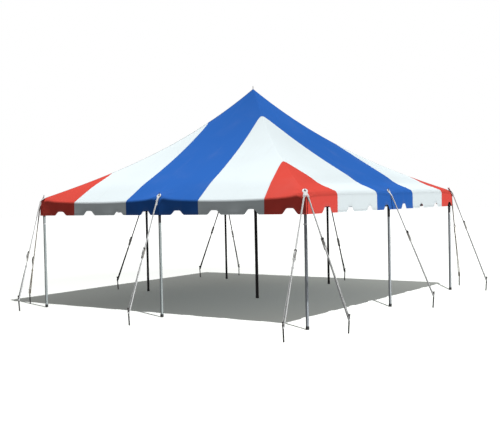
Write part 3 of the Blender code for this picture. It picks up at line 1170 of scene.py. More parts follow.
    def rounded(self, d: float, u: float) -> Pair:
        """Moves a point near a corner onto the corner's rounding.

        Args:
            d: Distance from the middle.
            u: Distance along the side.

        Returns:
            The point's new distance from the middle and along the side.
        """
        radius = min(self.corner_round, 0.25 * d)
        left = radius - (d - abs(u))
        if left <= 0:
            return d, u
        angle = math.pi / 4 * left / radius
        inner = d - radius
        return inner + radius * math.cos(angle), math.copysign(inner + radius * math.sin(angle), u)

    def colours(self, d: float, u: float, cut: Cut) -> Pair:
        """How deep a point lies in the blue and in the red.

        Args:
            d: Distance from the middle.
            u: Distance along the side.
            cut: The side.

        Returns:
            The two depths, negative outside the colour.
        """

        def edge(hip: float, hem: float, sign: int) -> float:
            """Signed distance from the line between hip and hem, rounded at the hip.

            Args:
                hip: Where the line starts on the hip.
                hem: Where it ends at the hem.
                sign: 1 on the right and -1 on the left.

            Returns:
                The distance, positive towards the middle.
            """
            start = hip - self.apex_round
            slope = (hem * sign - start) / (Layout.half - start)
            fillet = self.apex_round * (1 - slope) * math.exp(-(d - abs(u)) / self.apex_round)
            return (start + slope * (d - start) - u * sign + fillet) / math.hypot(1, slope)

        blue = min(edge(cut.left[0], cut.blue[0], -1), edge(cut.right[0], cut.blue[1], 1))
        red = -min(edge(cut.left[1], cut.red[0], -1), edge(cut.right[1], cut.red[1], 1))
        return blue, red

    def marks(self, d: float, u: float, z: float, low: float, cut: Cut) -> dict[str, float]:
        """The numbers that the finish reads at a point.

        Args:
            d: Distance from the middle.
            u: Distance along the side.
            z: Height.
            low: Height of the hem below it.
            cut: The side.

        Returns:
            How deep it lies in each colour, how far from the hip and the hem, and where the nearest pin is.
        """
        blue, red = self.colours(d, u, cut)
        hanging = d > Layout.half - 0.001
        off = min((u - place * Layout.pole_half for place in (-1, 0, 1)), key=abs)
        above = z - self.eave if hanging else Layout.pole_half - d
        return {
            "blue": blue,
            "red": red,
            "hip": d - abs(u) + (1.0 if u * cut.soft_hip > 0 else 0.0),
            "hem": z - low if hanging else 1.0,
            "pull": math.hypot(off, above),
            "fan": math.atan2(abs(off), above),
        }

    def build(self, finishes: Finishes) -> Object:
        """Makes the sheet.

        Args:
            finishes: The tent's finishes.

        Returns:
            The sheet.
        """
        places: list[Vector] = []
        rings: list[range] = []
        numbers: dict[str, list[float]] = defaultdict(list)
        map_at: list[Pair] = []
        for cut in self.cuts:
            turn = Matrix.Rotation(math.radians(cut.side.value), 3, "Z")
            for t in self.notch_columns(cut):
                run = 0.0
                line = self.section(t, cut)
                low = line[-1][1]
                rings.append(range(len(places), len(places) + len(line)))
                for row, (d, z) in enumerate(line):
                    if row:
                        run += math.dist(line[row - 1], line[row])
                    u = t * d
                    out, level = self.rounded(d, u)
                    thick = self.hem_extra if low + 0.0015 < z < low + self.hem_band * 0.95 else 0.0
                    if z < self.swing_below:
                        out += self.bulge(u, z, t, cut) + thick
                    places.append(turn @ Vector((out, level, z)))
                    for name, value in self.marks(d, u, z, low, cut).items():
                        numbers[name].append(value)
                    map_at.append((u, run))
        faces = [
            (column[j], column[j + 1], following[j + 1], following[j])
            for column, following in zip(rings, [*rings[1:], rings[0]])
            for j in range(len(column) - 1)
        ]
        mesh = bpy.data.meshes.new("canopy")
        mesh.from_pydata(places, [], faces)
        for name, values in numbers.items():
            attribute = mesh.attributes.new(name, "FLOAT", "POINT")
            attribute.data.foreach_set("value", np.array(values, np.float32))
        self._map(mesh, map_at)
        self.sheet = bpy.data.objects.new("canopy", mesh)
        bpy.context.scene.collection.objects.link(self.sheet)
        Bench.modify(self.sheet, "SOLIDIFY", thickness=self.thickness, offset=-1.0)
        Bench.smooth(self.sheet)
        Bench.paint(self.sheet, finishes.vinyl)
        return self.sheet

    def _map(self, mesh: bpy.types.Mesh, map_at: Sequence[Pair]) -> None:
        """Lays the cloth's own map on its faces, so that it doesn't jump where two sides meet.

        Args:
            mesh: The sheet's mesh.
            map_at: Each point's distance along the side and down from the peak.
        """
        layer = mesh.uv_layers.new(name=CLOTH_UV)
        for polygon in mesh.polygons:
            indices = list(polygon.loop_indices)
            points = [map_at[mesh.loops[i].vertex_index] for i in indices]
            first = points[0][0]
            for index, (u, run) in zip(indices, points):
                if first > 0 and u < 0 and abs(u) > 0.4 * abs(first) and abs(u + first) < 0.3:
                    u = -u
                layer.data[index].uv = (u, run)

    def settle(self, held_by: Sequence[str]) -> None:
        """Ties the sheet to the frame.

        Args:
            held_by: Names of the pieces that carry it; not used.
        """
        sides = [cut.side.name.lower() for cut in self.cuts]
        nodes = [f"{part}_{side}" for part in ("roof", "valance") for side in sides]
        settle(self.sheet, "roof_vinyl", *nodes)


# Poles


@dataclass
class Poles(SubAssembly):
    """The centre pole and the side poles, each a tube on a foot cap with a pin on top."""

    side_radius: float = 0.0255
    centre_radius: float = 0.0315
    foot: Pair = (0.0035, 0.055)  # growth and height of the foot cap
    pin: float = 0.006
    collar_height: float = 1.64
    collar_length: float = 0.03
    collar_growth: float = 0.005
    groove: float = 0.0008  # depth of the line near the top
    sleeve_from: float = 1.675
    sides: int = 32
    # The front poles' greys, given pole by pole; the back poles, not listed, take the near-black
    # painted-shade zinc.
    tones: dict[Pole, Tube] = field(
        default_factory=lambda: {
            Pole.LEFT_CORNER: Tube.BRIGHT,
            Pole.FRONT_LEFT_SIDE: Tube.BRIGHT,
            Pole.FRONT_CORNER: Tube.BLUE,
            Pole.FRONT_RIGHT_SIDE: Tube.STEEL,
            Pole.RIGHT_CORNER: Tube.STEEL,
        }
    )
    sleeved: tuple[Pole, ...] = (Pole.FRONT_LEFT_SIDE, Pole.FRONT_RIGHT_SIDE, Pole.RIGHT_CORNER)

    def rings(self, kind: Kind) -> list[Pair]:
        """A pole's outline.

        Args:
            kind: Which kind of pole it is.

        Returns:
            Radius and height of each ring from the foot up.
        """
        radius = self.centre_radius if kind is Kind.CENTRE else self.side_radius
        growth, height = self.foot
        top, tip = kind.value
        cap = radius + growth
        rings = [(cap - 0.003, 0.0), (cap, 0.004), (cap, 0.012), (cap - 0.001, 0.013), (cap - 0.001, 0.016)]
        rings += [(cap, 0.017), (cap, height - 0.004), (cap - 0.002, height - 0.001), (radius, height)]
        if kind is Kind.CORNER:
            low, high = self.collar_height, self.collar_height + self.collar_length
            wide = radius + self.collar_growth
            rings += [(radius, low), (wide - 0.0015, low), (wide, low + 0.002), (wide, high - 0.002)]
            rings += [(wide - 0.0015, high), (radius, high)]
        slim = radius - self.groove
        rings += [(radius, self.sleeve_from), (radius, top - 0.05), (slim, top - 0.049), (slim, top - 0.047)]
        rings += [(radius, top - 0.046), (radius, top - 0.003), (radius - 0.003, top)]
        rings += [(self.pin + 0.003, top), (self.pin, top + 0.004), (self.pin, tip - 0.012)]
        return rings + [(self.pin * 0.6, tip - 0.004), (0.0012, tip)]

    def tube(self, kind: Kind) -> Object:
        """Models one kind of pole at the origin.

        Args:
            kind: Which kind.

        Returns:
            The pole.
        """
        centre = kind is Kind.CENTRE
        low, high = self.collar_height - 0.001, self.sleeve_from - 0.004
        obj = Bench.turned(f"part_pole_{kind.name.lower()}", self.rings(kind), self.sides)
        Bench.paint(obj, self.finishes.tube[Tube.STEEL])
        Bench.paint(obj, self.finishes.rubber, lambda c: c.z < self.foot[1])
        # The top takes the near-black zinc as a stand-in, which every pole repaints.
        Bench.paint(obj, self.finishes.tube[Tube.BLACK], lambda c: c.z > self.sleeve_from and not centre)
        Bench.paint(obj, self.finishes.plate, lambda c: low < c.z < high)
        Bench.paint(obj, self.finishes.rod, lambda c: c.z > kind.value[0] + 0.0005 and centre)
        Bench.smooth(obj)
        return self.store.keep(obj)

    def locking_pin(self) -> Object:
        """A thin pin along Z, longer than a collar is wide.

        Returns:
            The pin.
        """
        half = self.side_radius + self.collar_growth + 0.008
        rings = [(0.003, -half), (0.004, 0.001 - half), (0.004, half - 0.001), (0.003, half)]
        obj = Bench.turned("part_locking_pin", rings, 12)
        Bench.paint(obj, self.finishes.rod)
        Bench.smooth(obj)
        return self.store.keep(obj)

    def build(self) -> list[Object]:
        """Makes every pole.

        Returns:
            The poles, the centre one first.
        """
        kinds = {kind: self.tube(kind) for kind in Kind}
        pin = self.locking_pin()
        steel, black = self.finishes.tube[Tube.STEEL], self.finishes.tube[Tube.BLACK]
        plate, rubber = self.finishes.plate, self.finishes.rubber
        # The centre pole is near-black all over: painted shade under the canopy.
        dark = {steel: black, plate: black}
        made = [self.store.assemble("centre_upright", [Copy(kinds[Kind.CENTRE])], dark)]
        settle(made[0], "galvanised_tube", "centre_pole")
        for pole in Pole:
            copies = [Copy(kinds[Kind.CORNER if pole.corner else Kind.SIDE], Matrix.Translation(pole.foot))]
            # A pole that isn't listed, at the back, takes the near-black zinc as painted shade.
            tone = self.finishes.tube[self.tones.get(pole, Tube.BLACK)]
            repaint = {steel: tone, black: rubber if pole in self.sleeved else tone}
            if pole.corner:
                middle = pole.foot + UP * (self.collar_height + self.collar_length / 2)
                turn = Matrix.Rotation(pole.outward, 4, "Z") @ Matrix.Rotation(math.pi / 2, 4, "X")
                copies.append(Copy(pin, Matrix.Translation(middle) @ turn))
            else:
                repaint[plate] = tone
            piece = self.store.assemble(f"upright_{pole.label}", copies, repaint)
            made.append(settle(piece, "galvanised_tube", f"pole_{pole.label}"))
        return made


# Plates


@dataclass
class Plates(SubAssembly):
    """A disc over each eave pin, with a slotted tongue for each strap."""

    disc: float = 0.045
    thickness: float = 0.005
    tilt: float = math.radians(55)
    shift: float = 0.010  # the disc's middle lies this far below the pin
    tongue: Pair = (0.042, 0.118)  # width and reach
    tongue_round: float = 0.011
    slot: Size = (0.030, 0.090, 0.106)  # width, and reach of its two sides
    spread: float = math.radians(17)
    heights: Pair = (2.1587, 2.1814)  # where a side plate and a corner plate sit on their pins
    hole: float = 0.0098
    edge: float = 0.0009
    washer: Pair = (0.0165, 0.002)  # radius and thickness
    lift: float = 0.0016

    def place(self, pole: Pole) -> Matrix:
        """Where a pole's plate is."""
        turn = Matrix.Rotation(pole.outward, 4, "Z") @ Matrix.Rotation(self.tilt, 4, "Y")
        return Matrix.Translation(pole.foot + Vector((0, 0, self.heights[pole.corner]))) @ turn

    def bar(self, pole: Pole, tongue: int) -> tuple[Vector, Vector]:
        """The bar that a strap hangs from.

        Args:
            pole: The plate's pole.
            tongue: -1 or 1 at a corner, for one tongue or the other, and 0 at a side.

        Returns:
            Its middle and its direction.
        """
        turn = Matrix.Rotation(tongue * self.spread, 4, "Z")
        about = self.place(pole) @ Matrix.Translation((self.shift, 0, 0)) @ turn
        middle = about @ Vector(((self.tongue[1] + self.slot[2]) / 2, 0, 0))
        return middle, (about.to_3x3() @ Vector((0, 1, 0))).normalized()

    def drill(self, obj: Object, shift: float) -> None:
        """Cuts the pin's upright hole through a tilted piece whose middle is shifted from it."""
        hole = Bench.turned("tool", [(self.hole, -0.03), (self.hole, 0.03)], 24)
        hole.data.transform(Matrix.Translation((-shift, 0, 0)) @ Matrix.Rotation(-self.tilt, 4, "Y"))
        Bench.cut(obj, hole)

    def tool(self, size: Size, reach: float, rounding: float, turn: float) -> Object:
        """A block with round ends on a tongue's line, for joining on or cutting out.

        Args:
            size: Its size along and across the tongue and through it.
            reach: How far out its middle is.
            rounding: Its corners' radius.
            turn: The tongue's turn.

        Returns:
            The tool.
        """
        tool = Bench.block("tool", size, (reach, 0, 0))
        Bench.round_ends(tool, 2, rounding)
        tool.data.transform(Matrix.Rotation(turn, 4, "Z"))
        return tool

    def model(self, corner: bool) -> Object:
        """Models one kind of plate at the origin, with the pin's hole there and a rubber washer round it.

        Args:
            corner: Whether it has two tongues.

        Returns:
            The plate.
        """
        half = self.thickness / 2
        obj = Bench.turned("part_plate", [(self.disc, -half), (self.disc, half)], 48)
        width, reach = self.tongue
        wide, near, far = self.slot
        length = reach - self.disc / 2
        turns = (-self.spread, self.spread) if corner else (0.0,)
        for turn in turns:
            size = (length, width, self.thickness)
            Bench.cut(obj, self.tool(size, self.disc / 2 + length / 2, self.tongue_round, turn), "UNION")
        for turn in turns:
            size = (far - near, wide, 4 * self.thickness)
            Bench.cut(obj, self.tool(size, (far + near) / 2, (far - near) * 0.45, turn))
        self.drill(obj, self.shift)
        obj.data.transform(Matrix.Translation((self.shift, 0, 0)))
        Bench.ease(obj, self.edge)
        Bench.paint(obj, self.finishes.plate)
        radius, thick = self.washer
        rings = [(radius, half + 0.0002), (radius, half + thick), (radius * 0.7, half + thick * 1.4)]
        washer = Bench.turned("part_washer", rings, 32)
        self.drill(washer, 0)
        Bench.smooth(washer)
        Bench.paint(washer, self.finishes.rubber)
        parts = [Copy(self.store.keep(part)) for part in (obj, washer)]
        return self.store.keep(self.store.assemble("part_plate_and_washer", parts))

    def build(self) -> list[Object]:
        """Makes every plate.

        Returns:
            The plates.
        """
        kinds = [self.model(corner) for corner in (False, True)]
        made = []
        for pole in Pole:
            place = self.place(pole) @ Matrix.Translation((0, 0, self.lift))
            piece = self.store.assemble(f"pole_plate_{pole.label}", [Copy(kinds[pole.corner], place)])
            made.append(settle(piece, "plate_steel", f"plate_{pole.label}"))
        return made


# Guys and stakes


@dataclass(frozen=True)
class Guy:
    """One guy: its pole, the tongue it hangs from, its stake on the ground and where its ratchet sits."""

    name: str
    pole: Pole
    tongue: int
    stake: Pair
    down: float
    tone: Webbing = Webbing.PALE

    @property
    def out(self) -> Vector:
        """The level direction from the pole to the stake."""
        return (Vector((*self.stake, 0)) - self.pole.foot).normalized()

    @property
    def axis(self) -> Vector:
        """The stake's direction."""
        return (UP + Layout.stake_lean * self.out).normalized()

    @property
    def loop(self) -> Vector:
        """Where the strap's loop holds the stake."""
        return Vector((*self.stake, 0)) + self.axis * (Layout.loop_height / self.axis.z)


GUYS = (
    Guy("left_corner_a", Pole.LEFT_CORNER, 1, (-3.04, -3.64), 0.56),
    Guy("left_corner_b", Pole.LEFT_CORNER, -1, (-3.72, -2.80), 0.64, Webbing.BEIGE),
    Guy("front_left_side", Pole.FRONT_LEFT_SIDE, 0, (0.13, -3.98), 0.48),
    Guy("front_corner_a", Pole.FRONT_CORNER, -1, (3.27, -4.12), 0.47),
    Guy("front_corner_b", Pole.FRONT_CORNER, 1, (3.74, -3.03), 0.39),
    Guy("front_right_side", Pole.FRONT_RIGHT_SIDE, 0, (3.76, 0.20), 0.40),
    Guy("right_corner_a", Pole.RIGHT_CORNER, 1, (2.86, 3.90), 0.42, Webbing.BEIGE),
    Guy("right_corner_b", Pole.RIGHT_CORNER, -1, (3.72, 3.18), 0.37),
    # The back guys' grey webbing is painted shade.
    Guy("back_right_side", Pole.BACK_RIGHT_SIDE, 0, (-0.04, 3.86), 0.60, Webbing.GREY),
    Guy("back_corner_a", Pole.BACK_CORNER, -1, (-3.27, 3.92), 0.52, Webbing.GREY),
    Guy("back_corner_b", Pole.BACK_CORNER, 1, (-3.92, 3.08), 0.45, Webbing.GREY),
    Guy("back_left_side", Pole.BACK_LEFT_SIDE, 0, (-3.92, -0.02), 0.50, Webbing.GREY),
)


@dataclass
class Stakes(SubAssembly):
    """Round steel stakes, driven with a lean away from the tent."""

    height: float = 0.30
    head: float = 0.0165
    sides: int = 24

    def model(self) -> Object:
        """Models a stake at the origin, its head mushroomed by the hammer.

        Returns:
            The stake.
        """
        shank, head, top = Layout.stake_radius, self.head, self.height
        rings = [(shank, 0.0), (shank, 0.1), (shank, 0.2), (shank, top - 0.024), (shank + 0.001, top - 0.022)]
        rings += [(head - 0.001, top - 0.015), (head, top - 0.012), (head, top - 0.006)]
        rings += [(head - 0.002, top - 0.002), (head - 0.006, top), (head * 0.4, top - 0.0008)]
        obj = Bench.turned("part_stake", rings, self.sides)
        for vertex in obj.data.vertices:
            if vertex.co.z > top - 0.018:
                turn = math.atan2(vertex.co.y, vertex.co.x)
                swell = 1 + 0.035 * math.sin(3 * turn + 0.6) + 0.02 * math.sin(7 * turn)
                vertex.co.x *= swell
                vertex.co.y *= swell
                vertex.co.z = min(vertex.co.z - 0.0008 * (1 + math.sin(2 * turn)), top)
        Bench.paint(obj, self.finishes.stake)
        Bench.smooth(obj)
        return self.store.keep(obj)

    def build(self) -> list[Object]:
        """Makes every stake.

        Returns:
            The stakes.
        """
        part = self.model()
        made = []
        for guy in GUYS:
            shear = Matrix.Identity(4)
            shear[0][2] = Layout.stake_lean * guy.out.x
            shear[1][2] = Layout.stake_lean * guy.out.y
            place = Matrix.Translation((*guy.stake, 0)) @ shear
            piece = self.store.assemble(f"ground_stake_{guy.name}", [Copy(part, place)])
            made.append(settle(piece, "stake_steel", f"stake_{guy.name}"))
        return made


@dataclass
class Ratchet(SubAssembly):
    """A webbing ratchet, lying along X with its spool towards +X and its handle above."""

    length: float = 0.20
    width: float = 0.044
    cheek: Pair = (0.0024, 0.026)  # thickness and height of a side plate
    slim: float = 0.55  # a side plate's height at the bolt, against its height at the spool
    spool_at: Pair = (0.06, 0.004)
    bolt_at: Pair = (-0.082, 0.0)
    gear: Pair = (0.0185, 0.0014)  # radius and half the thickness
    gear_root: float = 0.83
    teeth: int = 13
    axle: Pair = (0.004, 0.0058)  # radius, and its heads' radius
    gear_inset: float = 0.0032  # from the middle of a side plate
    tray: Size = (0.118, 0.033, 0.010)
    tray_at: float = -0.032
    tray_wall: float = 0.0022
    tray_dip: float = 0.005  # how far the handle's end at the spool is pressed down
    grip: Size = (0.040, 0.036, 0.015)
    grip_at: float = -0.078
    rib: Pair = (0.0067, 0.0011)  # width and height of the grip's ribs
    handle_height: float = 0.0165
    bed: Pair = (0.105, 0.0022)  # length and thickness of the plate between the sides
    bed_at: Pair = (-0.03, -0.008)
    pawl: Size = (0.034, 0.030, 0.0035)
    pawl_at: Pair = (0.026, 0.0115)
    edge: float = 0.0006

    def cheek_plate(self) -> Object:
        """One side plate: deep round the spool and slim towards the bolt.

        Returns:
            The side plate.
        """
        thickness, height = self.cheek
        obj = Bench.block("part_cheek", (self.length, thickness, height), (0, 0, 0.002))
        with Bench.editing(obj):
            Bench.pick(obj, Picked.FACES, facing(0, -1))
            bpy.ops.transform.resize(value=(1, 1, self.slim), center_override=(-self.length / 2, 0, 0))
        Bench.round_ends(obj, 1, height / 4)
        Bench.ease(obj, self.edge)
        return self.store.keep(obj)

    def gear_wheel(self) -> Object:
        """A toothed wheel about Y at the spool.

        Returns:
            The wheel.
        """
        radius, half = self.gear
        obj = Bench.turned("part_gear", [(radius, -half), (radius, half)], 2 * self.teeth)
        for vertex in obj.data.vertices:
            turn = math.atan2(vertex.co.y, vertex.co.x)
            scale = 1.0 if round(turn / (math.pi / self.teeth)) % 2 else self.gear_root
            vertex.co.x *= scale
            vertex.co.y *= scale
        Bench.ease(obj, 0.0004, 1)
        obj.data.transform(Matrix.Rotation(math.pi / 2, 4, "X"))
        return self.store.keep(obj)

    def bolt(self) -> Object:
        """A bolt across the ratchet, with a head at each end.

        Returns:
            The bolt.
        """
        shaft, head = self.axle
        end = [(shaft, 0.0006), (head, 0.0006), (head, 0.0034), (head - 0.0006, 0.004)]
        rings = [(radius, -self.width / 2 - off) for radius, off in reversed(end)]
        rings += [(radius, self.width / 2 + off) for radius, off in end]
        obj = Bench.turned("part_axle", rings, 16)
        Bench.smooth(obj)
        obj.data.transform(Matrix.Rotation(math.pi / 2, 4, "X"))
        return self.store.keep(obj)

    def handle(self) -> Object:
        """The pressed handle, folded down over the frame, with a ribbed grip at its free end.

        Returns:
            The handle.
        """
        tray = Bench.block("part_handle", self.tray, (self.tray_at, 0, self.handle_height))
        with Bench.editing(tray):
            Bench.pick(tray, Picked.FACES, facing(2, -1))
            bpy.ops.mesh.inset(thickness=self.tray_wall)
            Bench.extrude(self.tray[2] - self.tray_wall)
            Bench.pick(tray, Picked.FACES, facing(0, 1))
            bpy.ops.transform.translate(value=(0, 0, -self.tray_dip))
        Bench.round_ends(tray, 2, 0.004, 3)
        Bench.ease(tray, self.edge)
        Bench.paint(tray, self.finishes.fitting)
        grip = Bench.block("part_grip", self.grip, (self.grip_at, 0, self.handle_height))
        Bench.round_ends(grip, 1, 0.006)
        width, height = self.rib

        def top(face: bmesh.types.BMFace) -> bool:
            """Whether a face is the grip's flat top or a part of it."""
            return face.normal.z > 0.95

        def ribbed(face: bmesh.types.BMFace) -> bool:
            """Whether a face of the top lies on a rib."""
            return top(face) and round((face.calc_center_median().x - self.grip_at) / width) % 2 == 0

        with Bench.editing(grip):
            Bench.pick(grip, Picked.FACES, top)
            bpy.ops.mesh.subdivide(number_cuts=5)
            Bench.pick(grip, Picked.FACES, ribbed)
            Bench.extrude(height)
        Bench.ease(grip, 0.0004, 1)
        Bench.paint(grip, self.finishes.rubber)
        parts = [Copy(self.store.keep(part)) for part in (tray, grip)]
        return self.store.keep(self.store.assemble("part_lever", parts))

    def model(self) -> Object:
        """Models the whole ratchet at the origin.

        Returns:
            The ratchet.
        """
        cheek, gear, bolt = self.cheek_plate(), self.gear_wheel(), self.bolt()
        length, thickness = self.bed
        size = (length, self.width - 2 * self.cheek[0], thickness)
        bed = self.store.keep(Bench.block("part_bed", size, (self.bed_at[0], 0, self.bed_at[1])))
        Bench.ease(bed, self.edge)
        pawl = self.store.keep(Bench.block("part_pawl", self.pawl, (self.pawl_at[0], 0, self.pawl_at[1])))
        Bench.round_ends(pawl, 2, 0.005, 3)
        Bench.ease(pawl, 0.0005)
        for part in (cheek, gear, bolt, bed, pawl):
            Bench.paint(part, self.finishes.fitting)
        side = self.width / 2 - self.cheek[0] / 2
        spool, far = (Vector((x, 0, z)) for x, z in (self.spool_at, self.bolt_at))
        copies = [Copy(part) for part in (bed, pawl, self.handle())]
        for hand in (-1, 1):
            copies.append(Copy(cheek, Matrix.Translation((0, hand * side, 0))))
            wheel = spool + Vector((0, hand * (side - self.gear_inset), 0))
            copies.append(Copy(gear, Matrix.Translation(wheel)))
        copies += [Copy(bolt, Matrix.Translation(place)) for place in (spool, far)]
        return self.store.keep(self.store.assemble("part_ratchet", copies))


@dataclass
class Straps(SubAssembly):
    """The webbing of each guy: eye, upper run, wound spool, lower run, keeper, two legs and loop."""

    plates: Plates
    thickness: float = 0.0026
    rolled: Pair = (0.0255, 0.019)  # width and depth where the webbing is rolled lengthwise
    leg_depth: float = 0.012
    eye: float = 0.0072
    coil: Pair = (0.0055, 0.0105)  # inner radius and depth of the webbing wound on the spool
    hold: float = 0.0004  # the loop's clearance round its stake
    lap: float = 0.06  # of the strap's end, sewn back below the eye
    keeper_below: float = 0.20
    keeper: Size = (0.045, 0.033, 0.020)
    leg_spread: float = 0.005
    leg_into_loop: float = 0.7
    lap_from: float = 0.004
    lower_sink: float = 0.001  # of the lower run, where it leaves the spool
    tail: float = 0.16
    tail_bend: float = math.radians(75)
    tail_from: Pair = (-0.008, 0.012)  # along the strap from the spool, and up
    tail_out: float = 0.6

    def run(self, name: str, width: float, depth: float) -> Object:
        """A metre of strap along X, from the origin, with rounded edges.

        Args:
            name: The part's name.
            width: How wide the strap lies.
            depth: How deep it is, folded or rolled.

        Returns:
            The strap.
        """
        obj = Bench.block(name, (1.0, width, depth), (0.5, 0, 0))
        Bench.round_ends(obj, 0, depth * 0.42, 3)
        Bench.divide(obj, 12)
        Bench.smooth(obj)
        Bench.map_flat(obj)
        return self.store.keep(obj)

    def band(self, name: str, inner: float, thickness: float, sides: int) -> Object:
        """A flat band of webbing round Z.

        Args:
            name: The part's name.
            inner: Its inner radius.
            thickness: How thick the band is.
            sides: How many sides it has.

        Returns:
            The band.
        """
        size = (thickness, thickness, Layout.strap_width)
        obj = Bench.block(name, size, (inner + thickness / 2, 0, 0))
        with Bench.editing(obj):
            bm = bmesh.from_edit_mesh(obj.data)
            near = [vertex for vertex in bm.verts if vertex.co.y < 0]
            for vertex in bm.verts:
                vertex.co.y = 0.0
            bmesh.ops.delete(bm, geom=near, context="VERTS")
            bmesh.update_edit_mesh(obj.data)
            bpy.ops.mesh.select_all(action="SELECT")
            bpy.ops.mesh.spin(steps=sides, angle=2 * math.pi, center=(0, 0, 0), axis=(0, 0, 1))
            bpy.ops.mesh.select_all(action="SELECT")
            bpy.ops.mesh.remove_doubles(threshold=0.0001)
            bm = bmesh.from_edit_mesh(obj.data)
            inside = [face for face in bm.faces if all(len(edge.link_faces) > 2 for edge in face.edges)]
            bmesh.ops.delete(bm, geom=inside, context="FACES_ONLY")
            bmesh.update_edit_mesh(obj.data)
            Bench.outward()
        Bench.smooth(obj)
        Bench.map_round(obj)
        return self.store.keep(obj)

    def knot(self) -> Object:
        """Where the two legs are bound together: a wrapped, slightly waisted block.

        Returns:
            The knot.
        """
        obj = Bench.block("part_knot", self.keeper)
        with Bench.editing(obj):
            bpy.ops.mesh.select_all(action="SELECT")
            bpy.ops.mesh.subdivide(number_cuts=6)
        for vertex in obj.data.vertices:
            s = vertex.co.x / (self.keeper[0] / 2)
            swell = 1.0 - 0.22 * s * s + 0.06 * math.cos(3 * math.pi * s)
            vertex.co.y *= swell * (1 + 0.05 * s)
            vertex.co.z *= swell
            vertex.co.z += 0.0012 * math.sin(5 * s + vertex.co.y * 90)
        Bench.round_ends(obj, 0, 0.001, 1)
        Bench.modify(obj, "SUBSURF", levels=1, render_levels=1)
        Bench.smooth(obj)
        Bench.map_flat(obj)
        return self.store.keep(obj)

    def loose_end(self) -> Object:
        """The strap's free end, falling from the spool and turning down; it starts at the origin along X.

        Returns:
            The free end.
        """
        obj = Bench.block("part_tail", (self.tail, Layout.strap_width, self.thickness), (self.tail / 2, 0, 0))
        Bench.divide(obj, 10)
        Bench.map_flat(obj)
        for vertex in obj.data.vertices:
            s = vertex.co.x / self.tail
            bend = self.tail_bend * s
            reach = self.tail * math.sin(bend) / self.tail_bend
            drop = self.tail * (1 - math.cos(bend)) / self.tail_bend
            twist = 0.5 * s * s
            y, z = vertex.co.y, vertex.co.z
            height = -drop + z * math.cos(bend) + y * math.sin(twist)
            vertex.co = (reach - z * math.sin(bend), y * math.cos(twist), height)
        Bench.smooth(obj)
        return self.store.keep(obj)

    def build(self) -> list[Object]:
        """Makes every guy's strap and ratchet.

        Returns:
            The straps and ratchets.
        """
        ratchet = Ratchet(self.store, self.finishes)
        fitting = ratchet.model()
        run = self.run("part_run", *self.rolled)
        leg = self.run("part_leg", Layout.strap_width, self.leg_depth)
        knot, tail = self.knot(), self.loose_end()
        eye = self.band("part_eye", self.eye, self.thickness, 16)
        coil = self.band("part_coil", *self.coil, 28)
        loop = self.band("part_loop", Layout.stake_radius + self.hold, self.thickness, 20)
        leg_reach = Layout.stake_radius + self.hold + self.thickness * self.leg_into_loop
        lap_below = (self.rolled[1] + self.leg_depth) / 2
        spool_x, spool_z = ratchet.spool_at
        made = []
        for guy in GUYS:
            bar, across = self.plates.bar(guy.pole, guy.tongue)
            whole = (guy.loop - bar).length
            ahead = (guy.loop - bar) / whole
            level = ahead.cross(UP).normalized()
            line = frame_of(bar, ahead, across)
            middle = whole * guy.down
            skew = abs(ahead.dot(across))
            start = (self.eye + self.thickness / 2 + Layout.strap_width / 2 * skew) / math.sqrt(1 - skew**2)
            wound = middle + spool_x
            keeper = bar + ahead * (middle + self.keeper_below)
            spool = line @ Matrix.Translation((wound, 0, spool_z)) @ Matrix.Rotation(math.pi / 2, 4, "X")
            upper = line @ Matrix.Translation((start, 0, 0))
            lower = line @ Matrix.Translation((wound, 0, -self.lower_sink))
            lap = line @ Matrix.Translation((start + self.lap_from, 0, -lap_below))
            copies = [
                Copy(eye, ring_frame(bar, across)),
                Copy(run, upper, middle + ratchet.bolt_at[0] - start),
                Copy(coil, spool),
                Copy(run, lower, self.keeper_below - spool_x),
                Copy(knot, frame_of(keeper, ahead, level)),
                Copy(loop, ring_frame(guy.loop, guy.axis)),
                Copy(leg, lap, self.lap),
            ]
            for hand in (-1, 1):
                top = keeper + level * (hand * self.leg_spread)
                end = guy.loop + level * (hand * leg_reach)
                copies.append(Copy(leg, frame_of(top, end - top, ahead.cross(level)), (end - top).length))
            fall = line @ Vector((wound + self.tail_from[0], 0, self.tail_from[1]))
            copies.append(Copy(tail, frame_of(fall, -ahead + self.tail_out * guy.out, level)))
            piece = self.store.assemble(f"strap_{guy.name}", copies, {None: self.finishes.strap[guy.tone]})
            made.append(settle(piece, "webbing", f"guy_{guy.name}"))
            place = line @ Matrix.Translation((middle, 0, 0))
            piece = self.store.assemble(f"ratchet_{guy.name}", [Copy(fitting, place)])
            made.append(settle(piece, "plate_steel", f"guy_{guy.name}"))
        return made


# Studio


